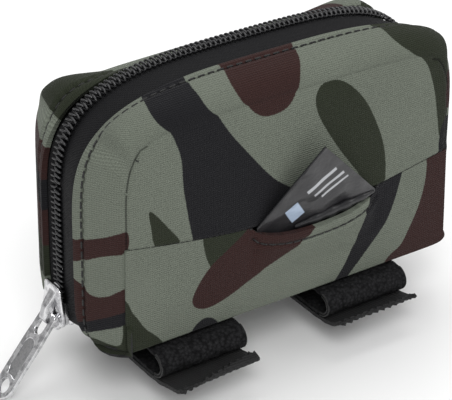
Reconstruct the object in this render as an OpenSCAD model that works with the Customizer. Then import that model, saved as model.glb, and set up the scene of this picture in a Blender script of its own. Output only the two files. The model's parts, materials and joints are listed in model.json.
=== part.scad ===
// Dispenser pouch: a padded zip pouch with a front slot, a refill roll and two strap loops.
// X runs along the pouch, the front face looks towards -Y, and z = 0 is its underside.

/* [Pouch] */
// Length of the pouch over its side gussets
pouch_l = 112; // [104:1:124]
// Height of the pouch above its underside
pouch_h = 66; // [62:1:72]
// Thickness of the padded fabric
fabric_t = 2; // [1.6:0.1:2.4]
// Depth of the front shell, from its zip seam to its face
front_depth = 11.2; // [10:0.2:13]
// Depth of the back shell, from its zip seam to its face
back_depth = 15; // [12:0.5:17]
// How far the gussets taper in from the zip seam to the face
gusset_taper = 8; // [6:0.5:10]

/* [Slot] */
// Left end of the dispensing slot, along X
slot_x0 = -13; // [-16:1:-8]
// Right end of the dispensing slot, along X
slot_x1 = 25; // [22:1:28]
// How far the lower lip hangs below the upper one
lip_sag = 4.2; // [3.6:0.2:5]
// Width of the folded hem along the lower lip
hem_w = 3.4; // [2.5:0.1:4]

/* [Zip] */
// Thickness of the woven zip tape
tape_t = 0.8; // [0.6:0.1:1]
// Width of one side of the coil
coil_w = 2.4; // [2:0.1:2.6]
// Thickness of the coil, across the tape
coil_t = 1.6; // [1.4:0.1:1.7]
// Length of the slider
slider_l = 11.5; // [10:0.5:13]
// Length of the pull tab, from its pivot to its end
tab_l = 24; // [20:1:28]
// Radius of the hole at the end of the pull tab
tab_hole_r = 2; // [1.5:0.1:2.2]
// Angle of the pull tab from straight down
tab_angle = 39; // [30:1:50]

/* [Straps] */
// Width of each strap
strap_w = 25; // [20:1:25]
// Thickness of the strap webbing
strap_t = 1.2; // [0.9:0.1:1.4]
// Clear height inside each strap loop
loop_gap = 4.6; // [4.4:0.1:6]

/* [Refill] */
// Radius of the bag roll
roll_r = 13.5; // [10:0.5:14]
// Length of the bag roll
roll_l = 60; // [50:1:64]
// Radius of the bore through the roll's core
core_bore_r = 5; // [4:0.5:7]

/* [Hidden] */
$fn = 48;

camo_green = "#6b7264";
web_black = "#1b1b1d";
gap = 0.3;

front_seam_y = -12.2;
back_seam_y = 5;
face_y = front_seam_y - front_depth;
rear_y = back_seam_y + back_depth;
zip_half_l = pouch_l / 2 - 2.7;
zip_top = pouch_h - 0.8;
hinge_z = 2.2;
dart_tip_q = 0.72;
// How far the padding crowns the front face and the back face.
front_crown = 0.8;
back_crown = 1;
seam_left_z = 31.6;
seam_mid_z = 25.8;
seam_right_z = 30.2;

// Shell settings: seam y, depth, half-lengths, tops and bottoms at the seam and at the face.
front = [front_seam_y, -front_depth, pouch_l / 2, pouch_l / 2 - gusset_taper,
    pouch_h, pouch_h - 8, 0.2, hinge_z];
back = [back_seam_y, back_depth, pouch_l / 2 - 1.5, pouch_l / 2 - gusset_taper - 0.5,
    pouch_h - 2.6, pouch_h - 10.6, 0.2, 2.2];

// How far a ring has moved from the seam to the face, with a rounded shoulder.
function shoulder(s) = 1 - sqrt(1 - 0.98 * s * s);
// Maps a point of the square -1..1 to a rounded outline: squarer below than above.
function rounded(p, q, half, low, high) =
    let (m = max(abs(p), abs(q), 0.001), n = q > 0 ? 3.4 : 9,
         k = 1 / pow(pow(abs(p / m), n) + pow(abs(q / m), n), 1 / n),
         mid = (low + high) / 2)
    [half * p * k, mid + (high - low) / 2 * q * k];
// A point of a shell's side wall: p and q run round its outline, s from seam to face, t inwards.
function wall(sh, p, q, s, t) =
    let (xz = rounded(p, q, sh[2] + (sh[3] - sh[2]) * pow(s, 1.15) - t,
                      sh[6] + (sh[7] - sh[6]) * s + (s < 0.5 ? t : t * (1 - s)),
                      sh[4] + (sh[5] - sh[4]) * shoulder(s) - t))
    [xz[0], sh[0] + sh[1] * s - sign(sh[1]) * t * s, xz[1]];
// The bulge of a face at a point, largest at its middle.
function crown(sh, x, z, high) =
    let (u = x / sh[3], v = (z - (sh[7] + sh[5]) / 2) / ((sh[5] - sh[7]) / 2))
    high * max(0, 1 - u * u) * max(0, 1 - v * v);
// How far the lower lip stands out in front of the face.
function lip_out(x, z) =
    let (u = (2 * x - slot_x0 - slot_x1) / (slot_x1 - slot_x0), v = (z - 22) / 8)
    2.6 * max(0, 1 - pow(u, 4)) * exp(-v * v);

// Height of the seam between the two front panels.
function seam_z(x) = x < slot_x0
    ? seam_mid_z + (seam_left_z - seam_mid_z) * pow((slot_x0 - x) / (slot_x0 + pouch_l / 2), 1.3)
    : x < slot_x1 ? seam_mid_z
    : seam_mid_z + (seam_right_z - seam_mid_z) * (x - slot_x1) / (pouch_l / 2 - slot_x1);
// Height of the slot's lower lip.
function lip_z(x) =
    let (u = (2 * x - slot_x0 - slot_x1) / (slot_x1 - slot_x0))
    seam_z(x) - (abs(u) < 1 ? lip_sag * sqrt(1 - u * u) : 0);

function mix(a, b, k) = a + (b - a) * k;
// Joins four edge curves, given as functions' values, into a point inside them.
function coons(low, high, left, right, c00, c10, c01, c11, u, v) =
    mix(low, high, v) + mix(left, right, u)
    - mix(mix(c00, c10, u), mix(c01, c11, u), v);
// A closed solid between two grids of points, given row by row.
module padded_sheet(outer, inner) {
    rows = len(outer);
    cols = len(outer[0]);
    half = rows * cols;
    quads = [for (r = [0 : rows - 2], c = [0 : cols - 2])
        let (a = r * cols + c) [a, a + 1, a + cols + 1, a + cols]];
    sides = concat(
        [for (c = [0 : cols - 2]) [c + 1, c]],
        [for (r = [0 : rows - 2]) [r * cols, (r + 1) * cols]],
        [for (c = [0 : cols - 2]) [half - cols + c, half - cols + c + 1]],
        [for (r = [0 : rows - 2]) [(r + 2) * cols - 1, (r + 1) * cols - 1]]);
    tris = concat(
        [for (f = quads) each [[f[0], f[1], f[2]], [f[0], f[2], f[3]]]],
        [for (f = quads) each [[f[2] + half, f[1] + half, f[0] + half],
                               [f[3] + half, f[2] + half, f[0] + half]]],
        [for (e = sides) each [[e[0], e[1], e[1] + half], [e[0], e[1] + half, e[0] + half]]]);
    points = concat([for (row = outer) each row], [for (row = inner) each row]);
    polyhedron(points, tris, convexity = 6);
}

// Steps of a count from one value to another.
function steps(from, to, count) = [for (i = [0 : count]) from + (to - from) * i / count];
// A row or grid turned round, for a shell that faces the other way.
function backwards(list) = [for (i = [len(list) - 1 : -1 : 0]) list[i]];
// A place on the outline's upper path, from the left dart tip over the top to the right one.
function over(w, from_q) =
    w < 0.2 ? [-1, from_q + (1 - from_q) * w / 0.2]
    : w > 0.8 ? [1, 1 - (1 - from_q) * (w - 0.8) / 0.2]
    : [-1 + 2 * (w - 0.2) / 0.6, 1];

function gusset_rows(sh, side, t) =
    [for (q = steps(-1, dart_tip_q, 14)) [for (s = steps(0, 1, 5)) wall(sh, side, q, s, t)]];
module gusset(sh, side) {
    outer = gusset_rows(sh, side, 0);
    inner = gusset_rows(sh, side, fabric_t);
    if (side * sign(sh[1]) < 0)
        padded_sheet(backwards(outer), backwards(inner));
    else
        padded_sheet(outer, inner);
}

// A point on a shell's face, laid out between its edges, with a crown in the middle.
function on_face(sh, xz, t, high) =
    [xz[0], sh[0] + sh[1] - sign(sh[1]) * t + sign(sh[1]) * crown(sh, xz[0], xz[1], high), xz[1]];
function flat_wall(sh, p, q, t) = let (w = wall(sh, p, q, 1, t)) [w[0], w[2]];
// The place down the side of a face that has a given height.
function side_q(sh, z) = (2 * z - sh[5] - sh[7]) / (sh[5] - sh[7]);
// The same for the seam between the front panels, at the left or right edge of the face.
function seam_q(side) = side_q(front, seam_z(side * front[3]));

// Rows of a panel that covers the face above its lower edge and wraps over the top.
function wrap_rows(sh, low_q_left, low_q_right, lower_edge, t, high) =
    let (tip = dart_tip_q,
         c00 = flat_wall(sh, -1, low_q_left, t), c10 = flat_wall(sh, 1, low_q_right, t),
         c01 = flat_wall(sh, -1, tip, t), c11 = flat_wall(sh, 1, tip, t),
         across = steps(0, 1, 40))
    concat(
        [for (v = steps(0, 0.95, 8)) [for (w = across)
            let (o = over(w, tip),
                 low = lower_edge(c00, c10, w), top = flat_wall(sh, o[0], o[1], t),
                 left = flat_wall(sh, -1, mix(low_q_left, tip, v), t),
                 right = flat_wall(sh, 1, mix(low_q_right, tip, v), t))
            on_face(sh, coons(low, top, left, right, c00, c10, c01, c11, w, v), t, high)]],
        [for (s = [1, 0.94, 0.84, 0.68, 0.46, 0.2, 0]) [for (w = across)
            let (o = over(w, tip)) wall(sh, o[0], o[1], s, t)]]);

seam_edge = function (a, b, w)
    let (x = mix(a[0], b[0], w), k = mix(a[1] - seam_z(a[0]), b[1] - seam_z(b[0]), w))
    [x, seam_z(x) + k];
bottom_edge = function (a, b, w) flat_wall(back, -1 + 2 * w, -1, 0);

module front_upper_panel() {
    left_q = seam_q(-1);
    right_q = seam_q(1);
    outer = wrap_rows(front, left_q, right_q, seam_edge, 0, front_crown);
    inner = wrap_rows(front, left_q, right_q, seam_edge, fabric_t, front_crown);
    color(camo_green) padded_sheet(outer, inner);
}

// Rows of the lower front panel, from its bottom edge to the seam or the hem.
function lower_rows(t) =
    let (left_q = seam_q(-1), right_q = seam_q(1),
         c01 = flat_wall(front, -1, left_q, t), c11 = flat_wall(front, 1, right_q, t),
         c00 = flat_wall(front, -1, -1, t), c10 = flat_wall(front, 1, -1, t))
    [for (v = steps(0, 1, 12)) [for (w = steps(0, 1, 48))
        let (low = flat_wall(front, -1 + 2 * w, -1, t), edge = seam_edge(c01, c11, w),
             x = edge[0], drop = seam_z(x) - lip_z(x),
             high = [x, edge[1] - drop - (drop > 0 ? hem_w * min(1, drop / 2) : 0)],
             left = flat_wall(front, -1, mix(-1, left_q, v), t),
             right = flat_wall(front, 1, mix(-1, right_q, v), t),
             at = coons(low, high, left, right, c00, c10, c01, c11, w, v))
        on_face(front, at, t, front_crown) - [0, lip_out(at[0], at[1]), 0]]];
module front_lower_panel() {
    color(camo_green) padded_sheet(lower_rows(0), lower_rows(fabric_t));
}

module front_left_gusset() { color(camo_green) gusset(front, -1); }
module front_right_gusset() { color(camo_green) gusset(front, 1); }
module back_left_gusset() { color(camo_green) gusset(back, -1); }
module back_right_gusset() { color(camo_green) gusset(back, 1); }

// How far the hem stops short of the slot's ends, and how far above the panel it starts.
hem_inset = 3;
hem_clear = 0.8;
// Rows of the hem, a rolled band along the slot's lower lip.
function hem_rows(t) =
    [for (v = steps(0, 1, 4)) [for (x = steps(slot_x0 + hem_inset, slot_x1 - hem_inset, 24))
        let (drop = seam_z(x) - lip_z(x),
             low = lip_z(x) - hem_w * min(1, drop / 2) + hem_clear, z = mix(low, lip_z(x), v))
        on_face(front, [x, z], t - 0.35 * sin(180 * v), front_crown) - [0, lip_out(x, z), 0]]];
module slot_hem() {
    color(camo_green) padded_sheet(hem_rows(0), hem_rows(fabric_t));
}

module slot_bar_tacks() {
    color(web_black) for (x = [slot_x0 - 0.6, slot_x1 + 0.6])
        translate([x, face_y - 1.6, seam_z(x) - 1.4]) cube([1, 0.5, 3.6], center = true);
}

module back_panel() {
    outer = wrap_rows(back, -1, -1, bottom_edge, 0, back_crown);
    inner = wrap_rows(back, -1, -1,
        function (a, b, w) flat_wall(back, -1 + 2 * w, -1, fabric_t), fabric_t, back_crown);
    color(camo_green) padded_sheet([for (r = outer) backwards(r)], [for (r = inner) backwards(r)]);
}

module bottom_panel() {
    half = pouch_l / 2 - 6.7;
    front_edge_y = -20.7;
    color(camo_green) linear_extrude(fabric_t)
        polygon([[-half + 2, front_edge_y], [half - 2, front_edge_y], [half, -12],
                 [half, back_seam_y],
                 [half - 3, rear_y - fabric_t], [-half + 3, rear_y - fabric_t],
                 [-half, back_seam_y], [-half, -12]]);
}

// The zip's own line round the pouch: straight sides below mid height, rounded above it.
function zip_point(w, inset) =
    let (mid = pouch_h / 2, half = zip_half_l - inset, rise = zip_top - mid - inset,
         side = w < 0.5 ? -1 : 1, k = w < 0.5 ? w : 1 - w)
    k < 0.2 ? [side * half, mix(2.5, mid, k / 0.2)]
    : let (q = k < 0.35 ? (k - 0.2) / 0.15 : 1, p = k < 0.35 ? 1 : (0.5 - k) / 0.15,
           n = 3.4, r = 1 / pow(pow(p, n) + pow(q, n), 1 / n))
      [side * half * p * r, mid + rise * q * r];
// A strip that follows the zip's line between two places, from one depth to another.
module zip_strip(w0, w1, inset, thick, y0, y1) {
    count = ceil((w1 - w0) * 72);
    outer = [for (w = steps(w0, w1, count)) zip_point(w, inset)];
    inner = [for (w = steps(w0, w1, count)) zip_point(w, inset + thick)];
    translate([0, y1, 0]) rotate([90, 0, 0]) linear_extrude(y1 - y0)
        polygon(concat(outer, backwards(inner)));
}

tape_inset = 1;
coil_inset = -0.7;
split = 0.5;
start_w = 0.228;
module front_zip_tape() {
    color(web_black) zip_strip(start_w, 1, tape_inset, tape_t, front_seam_y + 0.05, -split);
}
module front_zip_tape_start() {
    color(web_black) zip_strip(0, start_w, tape_inset, tape_t, front_seam_y + 0.05, -split);
}
module front_zip_coil() {
    color(web_black) zip_strip(start_w, 1, coil_inset, coil_t, -split - coil_w, -split);
}
module front_zip_coil_start() {
    color(web_black) zip_strip(0, start_w, coil_inset, coil_t, -split - coil_w, -split);
}
module back_zip_tape() {
    color(web_black) zip_strip(0, 1, tape_inset, tape_t, split, back_seam_y - 0.05);
}
module back_zip_coil() {
    color(web_black) zip_strip(0, 1, coil_inset, coil_t, split, split + coil_w);
}
stop_size = [2.4, coil_w, 1.8];
// The crimped stop at the far end of the zip, on the back half's coil.
module zip_end_stop() {
    color("silver") translate([zip_half_l + 0.2, split + coil_w / 2, 1.4])
        cube(stop_size, center = true);
}

// Slider, in its own axes: u points out of the pouch and w up along the chain.
slider_w = 9;
plate_t = 0.9;
plate_u = 1;
module slider_place() {
    translate([-zip_half_l, 0, 0]) mirror([1, 0, 0]) children();
}
// A slider plate: wide shoulders at its lower end, narrower where the closed chain leaves.
module slider_plate() {
    rotate([90, 0, 90]) linear_extrude(plate_t)
        polygon([[-3.2, 0], [3.2, 0], [slider_w / 2, 1.6], [slider_w / 2, 5.4],
                 [3.6, slider_l], [-3.6, slider_l], [-slider_w / 2, 5.4], [-slider_w / 2, 1.6]]);
}
module slider_body() {
    lip_w = 0.9;
    under = -tape_inset - tape_t - gap;
    color("silver") slider_place() {
        translate([plate_u, 0, 0]) slider_plate();
        translate([under - plate_t, 0, 0]) slider_plate();
        translate([under - 0.1, -0.2, 0.6]) cube([plate_u - under + 0.2, 0.4, 4]);
        for (side = [-1, 1])
            translate([-0.5, side * 3.7 - lip_w / 2, 1.6]) cube([plate_u + 0.6, lip_w, 6.4]);
    }
}

pivot_u = 2.9;
pivot_z = 3.2;
pin_r = 0.7;
bridge_w = 2.2;
module slider_bridge() {
    foot = plate_u + plate_t;
    color("silver") slider_place() {
        rotate([90, 0, 0]) translate([0, 0, -bridge_w / 2]) linear_extrude(bridge_w)
            polygon([[foot, 0.2], [3.4, 0.2], [4.6, 1.4], [4.9, 3.4], [4.3, 6], [3.2, 8.6],
                     [2.5, 10.2], [foot, 10.2], [foot, 8.6], [2.3, 7.6], [3.3, 5.6],
                     [3.75, 3.9], [3.7, 2.5], [3.1, 1.75], [foot, 1.5]]);
    }
}

// Pull tab, drawn hanging straight down from its pivot and then swung out to its angle.
tab_w = 6.4;
tab_t = 1.2;
tab_eye = 6.4;
// The tab's outline: a bar with a round end, and two shoulders beside the eye.
module tab_outline() {
    round_y = -tab_l + tab_w / 2;
    translate([-tab_w / 2, round_y]) square([tab_w, -tab_eye - round_y]);
    translate([0, round_y]) circle(d = tab_w);
    for (side = [-1, 1])
        polygon([[side * 2.9, -2.5], [side * 1.6, -2.5], [side * 1.3, -tab_eye],
                 [side * tab_w / 2, -tab_eye]]);
}
module pull_tab() {
    hole_z = -tab_l + tab_w / 2;
    color("gainsboro") slider_place() translate([pivot_u, 0, pivot_z])
        rotate([0, -tab_angle, 0]) {
            rotate([90, 0, 0]) cylinder(r = pin_r, h = 4.6, center = true);
            for (side = [-1, 1])
                translate([-tab_t / 2, side * 2.2 - 0.7, -tab_eye])
                    cube([tab_t, 1.4, tab_eye + 0.5]);
            translate([-tab_t / 2, 0, 0]) difference() {
                rotate([90, 0, 90]) linear_extrude(tab_t) tab_outline();
                translate([-1, 0, hole_z]) rotate([0, 90, 0])
                    cylinder(r = tab_hole_r, h = tab_t + 2);
                translate([tab_t - 0.3, -2.1, hole_z + tab_w / 2 + 0.6])
                    cube([1, 4.2, tab_l - tab_w - tab_eye - 1.4]);
            }
        }
}

// Straps: each is sewn along the underside and folds back under itself at both ends.
left_strap_x = -41;
right_strap_x = 9;
fold_front_y = -24;
fold_rear_y = 13;
loop_z = -strap_t - loop_gap;
hook_z = loop_z - strap_t - 0.4;
// Half a ring of webbing that joins two layers at a fold.
module fold(y, top, bottom, side) {
    r = (top - bottom) / 2;
    translate([0, y, (top + bottom) / 2]) rotate([90, 0, 90]) intersection() {
        difference() {
            cylinder(r = r, h = strap_w);
            translate([0, 0, -1]) cylinder(r = r - strap_t, h = strap_w + 2);
        }
        translate([side > 0 ? 0 : -2 * r, -2 * r, -1]) cube([2 * r, 4 * r, strap_w + 2]);
    }
}
module strap_anchor(x) {
    color(web_black) translate([x, 0, 0]) {
        translate([0, fold_front_y, -strap_t])
            cube([strap_w, fold_rear_y - fold_front_y, strap_t]);
        fold(fold_front_y, 0, loop_z - strap_t, -1);
        fold(fold_rear_y, 0, hook_z - strap_t, 1);
    }
}
module left_strap_anchor() { strap_anchor(left_strap_x); }
module right_strap_anchor() { strap_anchor(right_strap_x); }

loop_flap_l = 17;
module loop_flap(x) {
    color(web_black) translate([x, fold_front_y + gap, loop_z - strap_t])
        cube([strap_w, loop_flap_l, strap_t]);
}
module left_loop_flap() { loop_flap(left_strap_x); }
module right_loop_flap() { loop_flap(right_strap_x); }

// The hook flap: its free end is pinked into a row of small teeth.
hook_tip_y = -34;
module hook_flap(x) {
    teeth = 12;
    pitch = strap_w / teeth;
    end = concat([for (i = [0 : teeth - 1]) each
        [[i * pitch, hook_tip_y + 0.9], [(i + 0.5) * pitch, hook_tip_y]]],
        [[strap_w, hook_tip_y + 0.9], [strap_w, fold_rear_y - gap], [0, fold_rear_y - gap]]);
    color(web_black) translate([x, 0, hook_z - strap_t]) linear_extrude(strap_t) polygon(end);
}
module left_hook_flap() { hook_flap(left_strap_x); }
module right_hook_flap() { hook_flap(right_strap_x); }

// Refill: a roll of bags on a card core, and the bag that shows in the slot.
roll_z = fabric_t + roll_r + gap;
module roll_tube(outer, bore) {
    translate([-roll_l / 2, 0, roll_z]) rotate([0, 90, 0]) difference() {
        cylinder(r = outer, h = roll_l);
        translate([0, 0, -1]) cylinder(r = bore, h = roll_l + 2);
    }
}
module bag_roll() { color("dimgray") roll_tube(roll_r, core_bore_r + 1); }
module roll_core() { color("tan") roll_tube(core_bore_r + 1, core_bore_r); }

film_t = 0.4;
// Lean of the bag from upright, so that it comes out from behind the lip and over the face.
film_lean = 16.7;
// The bag's corner that sticks out highest, and the heights where its neck starts and ends.
film_corner = [3.3, 26];
neck_low = 0.5;
neck_high = 5;
module bag_film() {
    neck = 6;
    left = slot_x0 + 1;
    right = slot_x1 - 1;
    color("gray") translate([0, face_y - 0.35, 22]) rotate([90 + film_lean, 0, 0])
        translate([0, 0, -film_t / 2]) linear_extrude(film_t)
            polygon([[left + neck, -14], [right - neck, -14], [right - neck, neck_low],
                     [right, neck_high], film_corner, [left, neck_high],
                     [left + neck, neck_low]]);
}

front_upper_panel();
front_lower_panel();
front_left_gusset();
front_right_gusset();
slot_hem();
slot_bar_tacks();
front_zip_tape();
front_zip_coil();
front_zip_tape_start();
front_zip_coil_start();
back_panel();
back_left_gusset();
back_right_gusset();
bottom_panel();
back_zip_tape();
back_zip_coil();
zip_end_stop();
slider_body();
slider_bridge();
pull_tab();
left_strap_anchor();
right_strap_anchor();
left_loop_flap();
right_loop_flap();
left_hook_flap();
right_hook_flap();
bag_roll();
roll_core();
bag_film();
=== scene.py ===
"""Dispenser pouch in camouflage knit, built round its CAD frame as a Blender add-on."""
import json
import math

import bpy
import numpy as np
from bpy.props import FloatProperty, FloatVectorProperty, PointerProperty
from mathutils import Matrix, Vector, noise
from mathutils.bvhtree import BVHTree


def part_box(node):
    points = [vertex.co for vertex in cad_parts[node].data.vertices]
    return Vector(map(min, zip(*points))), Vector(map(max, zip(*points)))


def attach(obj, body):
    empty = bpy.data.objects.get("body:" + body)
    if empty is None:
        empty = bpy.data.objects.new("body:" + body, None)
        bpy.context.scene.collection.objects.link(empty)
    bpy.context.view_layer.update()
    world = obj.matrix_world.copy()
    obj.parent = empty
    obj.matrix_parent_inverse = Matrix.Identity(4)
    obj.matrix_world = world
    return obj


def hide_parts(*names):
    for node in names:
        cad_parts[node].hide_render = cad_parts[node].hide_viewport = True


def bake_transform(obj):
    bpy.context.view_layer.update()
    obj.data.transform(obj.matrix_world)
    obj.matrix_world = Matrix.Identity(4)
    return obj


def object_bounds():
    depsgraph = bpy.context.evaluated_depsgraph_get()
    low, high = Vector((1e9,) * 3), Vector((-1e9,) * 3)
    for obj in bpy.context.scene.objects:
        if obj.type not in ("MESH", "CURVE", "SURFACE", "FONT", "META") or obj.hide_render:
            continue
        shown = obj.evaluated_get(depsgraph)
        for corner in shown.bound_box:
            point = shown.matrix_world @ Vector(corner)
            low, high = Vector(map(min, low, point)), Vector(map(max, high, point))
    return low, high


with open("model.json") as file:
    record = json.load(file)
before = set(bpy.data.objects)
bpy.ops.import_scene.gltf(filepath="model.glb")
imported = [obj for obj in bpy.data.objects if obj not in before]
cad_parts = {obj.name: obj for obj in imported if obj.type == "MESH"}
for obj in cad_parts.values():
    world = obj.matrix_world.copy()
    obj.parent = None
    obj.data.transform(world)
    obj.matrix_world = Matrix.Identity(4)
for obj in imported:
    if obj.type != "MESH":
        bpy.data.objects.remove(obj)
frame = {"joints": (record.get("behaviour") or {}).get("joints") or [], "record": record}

bl_info = {
    "name": "Dispenser pouch",
    "version": (1, 0, 0),
    "blender": (4, 5, 0),
    "location": "View3D > Sidebar > Pouch",
    "description": "Builds a padded zip pouch with a bag slot and strap loops",
    "category": "Object",
}

MM = 0.001
CAD_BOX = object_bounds()


def node_box(node):
    """A CAD node's lowest and highest corners, in millimetres."""
    low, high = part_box(node)
    return np.array(low) / MM, np.array(high) / MM


# ---------------------------------------------------------------- sizes taken from the frame

SEAM_LOW, SEAM_HIGH = node_box("front_left_gusset")
UPPER_HIGH = node_box("front_upper_panel")[1]
BACK_HIGH = node_box("back_panel")[1]
BACK_GUSSET_LOW = node_box("back_left_gusset")[0]
COIL_LOW, COIL_HIGH = node_box("back_zip_coil")
FILM_LOW, FILM_HIGH = node_box("bag_film")
TACK_LOW, TACK_HIGH = node_box("slot_bar_tacks")

FABRIC_T = 2.0
FRONT = {
    "seam_y": SEAM_HIGH[1], "face_y": SEAM_LOW[1],
    "seam_half": -SEAM_LOW[0], "face_half": -SEAM_LOW[0] - 7.8,
    "seam_top": UPPER_HIGH[2], "face_top": UPPER_HIGH[2] - 7.5,
    "seam_low": 0.2, "face_low": 1.2, "tip": 0.9, "crown": 1.4, "slack": 0.0,
}
BACK = {
    "seam_y": BACK_GUSSET_LOW[1], "face_y": BACK_HIGH[1] - 1,
    "seam_half": -BACK_GUSSET_LOW[0], "face_half": -BACK_GUSSET_LOW[0] - 7,
    "seam_top": BACK_HIGH[2], "face_top": BACK_HIGH[2] - 9.5,
    "seam_low": 0.2, "face_low": 2.2, "tip": 0.86, "crown": 1.8, "slack": 0.9,
}
SLOT = (TACK_LOW[0] + 1.1, TACK_HIGH[0] - 1.1)
SEAM_LEFT_Z, SEAM_MID_Z, SEAM_RIGHT_Z = 31.6, 25.8, 30.2
LIP_SAG = 4.2
HEM_W = 2.4
CHAIN_HALF = -COIL_LOW[0] - 0.7
CHAIN_TOP = COIL_HIGH[2] - 0.7
START_TOP = node_box("front_zip_coil_start")[1][2]
LIP_HEIGHT, LIP_REACH = 22, 8
BAG_LEAN = math.radians(16.7)

# ---------------------------------------------------------------- sizes of the sewing

WALL_CLOTH = 14.6
RIM_INSET = 2.6
RIM_W, SEAM_W, DART_W = 0.6, 0.6, 0.8
DART_STOP = 14
CORNER_SHARE = 0.12
SIDE_SHARE = 0.3
CHAIN_SQUARENESS = 60.0
COIL_PITCH, COIL_WIRE_R = 1.45, 0.31
TAPE_T, STRAP_T, HOOK_T, BAG_T = 0.5, 1.1, 1.0, 0.12
CORE_R, CORE_BORE_R = 6.05, 5.0


# ---------------------------------------------------------------- pouch surface, in millimetres

def mix(a, b, k):
    return a + (b - a) * k


def smooth(low, high, x):
    k = np.clip((x - low) / (high - low), 0, 1)
    return k * k * (3 - 2 * k)


def shoulder(s):
    """How far a ring has moved in from the seam, rounded like a quarter of an ellipse."""
    return 1 - np.sqrt(1 - 0.985 * s * s)


def rounded(p, q, half, low, high, n_top, n_low=9.0):
    """A point of the square -1..1 laid out inside a rounded outline."""
    m = np.maximum(np.maximum(abs(p), abs(q)), 1e-4)
    n = np.where(q > 0, n_top, n_low)
    k = (abs(p / m) ** n + abs(q / m) ** n) ** (-1 / n)
    return half * p * k, (low + high) / 2 + (high - low) / 2 * q * k


def wall(shell, p, q, s):
    """A point of a shell's wall: p and q run round its outline, s from the seam to the face."""
    side = np.where(abs(p) >= abs(q) - 1e-9, 1.0, 0.0)
    soft = np.where(side > 0, smooth(0.72, 1.0, q), 1.0)
    inwards = mix(s ** 1.1, shoulder(s), soft)
    half = mix(shell["seam_half"], shell["face_half"], inwards)
    loose = shell["slack"] * (1 - smooth(0.5, 0.95, abs(p)))
    high = mix(shell["seam_top"], shell["face_top"], mix(shoulder(s), s ** 0.8, loose))
    low = mix(shell["seam_low"], shell["face_low"], s)
    x, z = rounded(p, q, half, low, high, mix(3.3, 6.0, s), mix(9.0, 34.0, s))
    return x, mix(shell["seam_y"], shell["face_y"], s), z


def fabric_wall(shell, p, q, s):
    """Where a wall point lies on the flat fabric, which runs on outwards from the face."""
    one = np.ones_like(s)
    x1, _, z1 = wall(shell, p, q, one)
    mid = (shell["face_low"] + shell["face_top"]) / 2
    nx = np.sign(x1) * abs(x1 / shell["face_half"]) ** 5
    nz = np.sign(z1 - mid) * abs((z1 - mid) / (shell["face_top"] - mid)) ** 5
    size = np.sqrt(nx * nx + nz * nz) + 1e-6
    reach = (1 - s) * WALL_CLOTH
    return x1 + nx / size * reach, z1 + nz / size * reach


def seam_z(x):
    """Height of the seam between the two front panels."""
    half = FRONT["seam_half"]
    left = mix(SEAM_MID_Z, SEAM_LEFT_Z, (np.maximum(SLOT[0] - x, 0) / (SLOT[0] + half)) ** 1.3)
    right = mix(SEAM_MID_Z, SEAM_RIGHT_Z, np.maximum(x - SLOT[1], 0) / (half - SLOT[1]))
    return np.where(x < SLOT[0], left, right)


def slot_u(x):
    """Place along the slot: -1 and 1 at its ends."""
    return (2 * x - SLOT[0] - SLOT[1]) / (SLOT[1] - SLOT[0])


def lip_z(x):
    """Height of the slot's lower lip, which hangs open in the middle."""
    return seam_z(x) - LIP_SAG * np.sqrt(np.maximum(0, 1 - slot_u(x) ** 2)) * 0.98


def lip_out(x, z):
    """How far the lower lip stands out in front of the face."""
    return 2.4 * np.maximum(0, 1 - slot_u(x) ** 4) * np.exp(-(((z - LIP_HEIGHT) / LIP_REACH) ** 2))


def face_y(shell, x, z):
    """Depth of a shell's face, crowned by the padding."""
    u = x / shell["face_half"]
    mid = (shell["face_low"] + shell["face_top"]) / 2
    v = (z - mid) / (shell["face_top"] - mid)
    way = np.sign(shell["face_y"] - shell["seam_y"])
    crown = shell["crown"] * np.maximum(0, 1 - u * u) * np.maximum(0, 1 - v * v)
    return shell["face_y"] + way * crown


def over(w, tip):
    """A place on the outline's upper path, from the left dart tip over the top to the right one."""
    share = CORNER_SHARE
    left = tip + (1 - tip) * w / share
    right = tip + (1 - tip) * (1 - w) / share
    p = np.clip((w - share) / (1 - 2 * share) * 2 - 1, -1, 1)
    q = np.where(w < share, left, np.where(w > 1 - share, right, 1.0))
    return p, q


def coons(low, high, left, right, c, u, v):
    """A point between four edge curves whose corners are c00, c10, c01 and c11."""
    return (mix(low, high, v) + mix(left, right, u)
            - mix(mix(c[0], c[1], u), mix(c[2], c[3], u), v))


def side_q(shell, z):
    low, high = shell["face_low"], shell["face_top"]
    return (2 * z - low - high) / (high - low)


def face_patch(shell, u, v, low_z):
    """The part of a face between its lower edge, low_z(x), and the ring where it turns over the top."""
    tip = shell["tip"]
    one = np.ones_like(u)
    q0 = [side_q(shell, low_z(np.float64(side * shell["face_half"]))) for side in (-1, 1)]
    ends = []
    for side, q in zip((-1, 1), q0):
        x, _, z = wall(shell, side * one, mix(q, tip, v), one)
        ends.append((x, z))
    p, q = over(u, tip)
    top_x, _, top_z = wall(shell, p, q, one)
    low_x = mix(-shell["face_half"], shell["face_half"], u)
    low_h = low_z(low_x)
    corner = [wall(shell, np.float64(side), np.float64(tip), np.float64(1)) for side in (-1, 1)]
    cx = (-shell["face_half"], shell["face_half"], corner[0][0], corner[1][0])
    cz = (low_z(np.float64(cx[0])), low_z(np.float64(cx[1])), corner[0][2], corner[1][2])
    x = coons(low_x, top_x, ends[0][0], ends[1][0], cx, u, v)
    z = coons(low_h, top_z, ends[0][1], ends[1][1], cz, u, v)
    return x, face_y(shell, x, z), z, x, z


def top_patch(shell, u, v):
    """The wall above the dart tips, from the face (v = 0) back to the seam (v = 1)."""
    s = np.cos(v * math.pi / 2)
    p, q = over(u, shell["tip"])
    x, y, z = wall(shell, p, q, s)
    fu, fv = fabric_wall(shell, p, q, 1 - 2 / math.pi * np.arccos(s))
    return x, y, z, fu, fv


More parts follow.
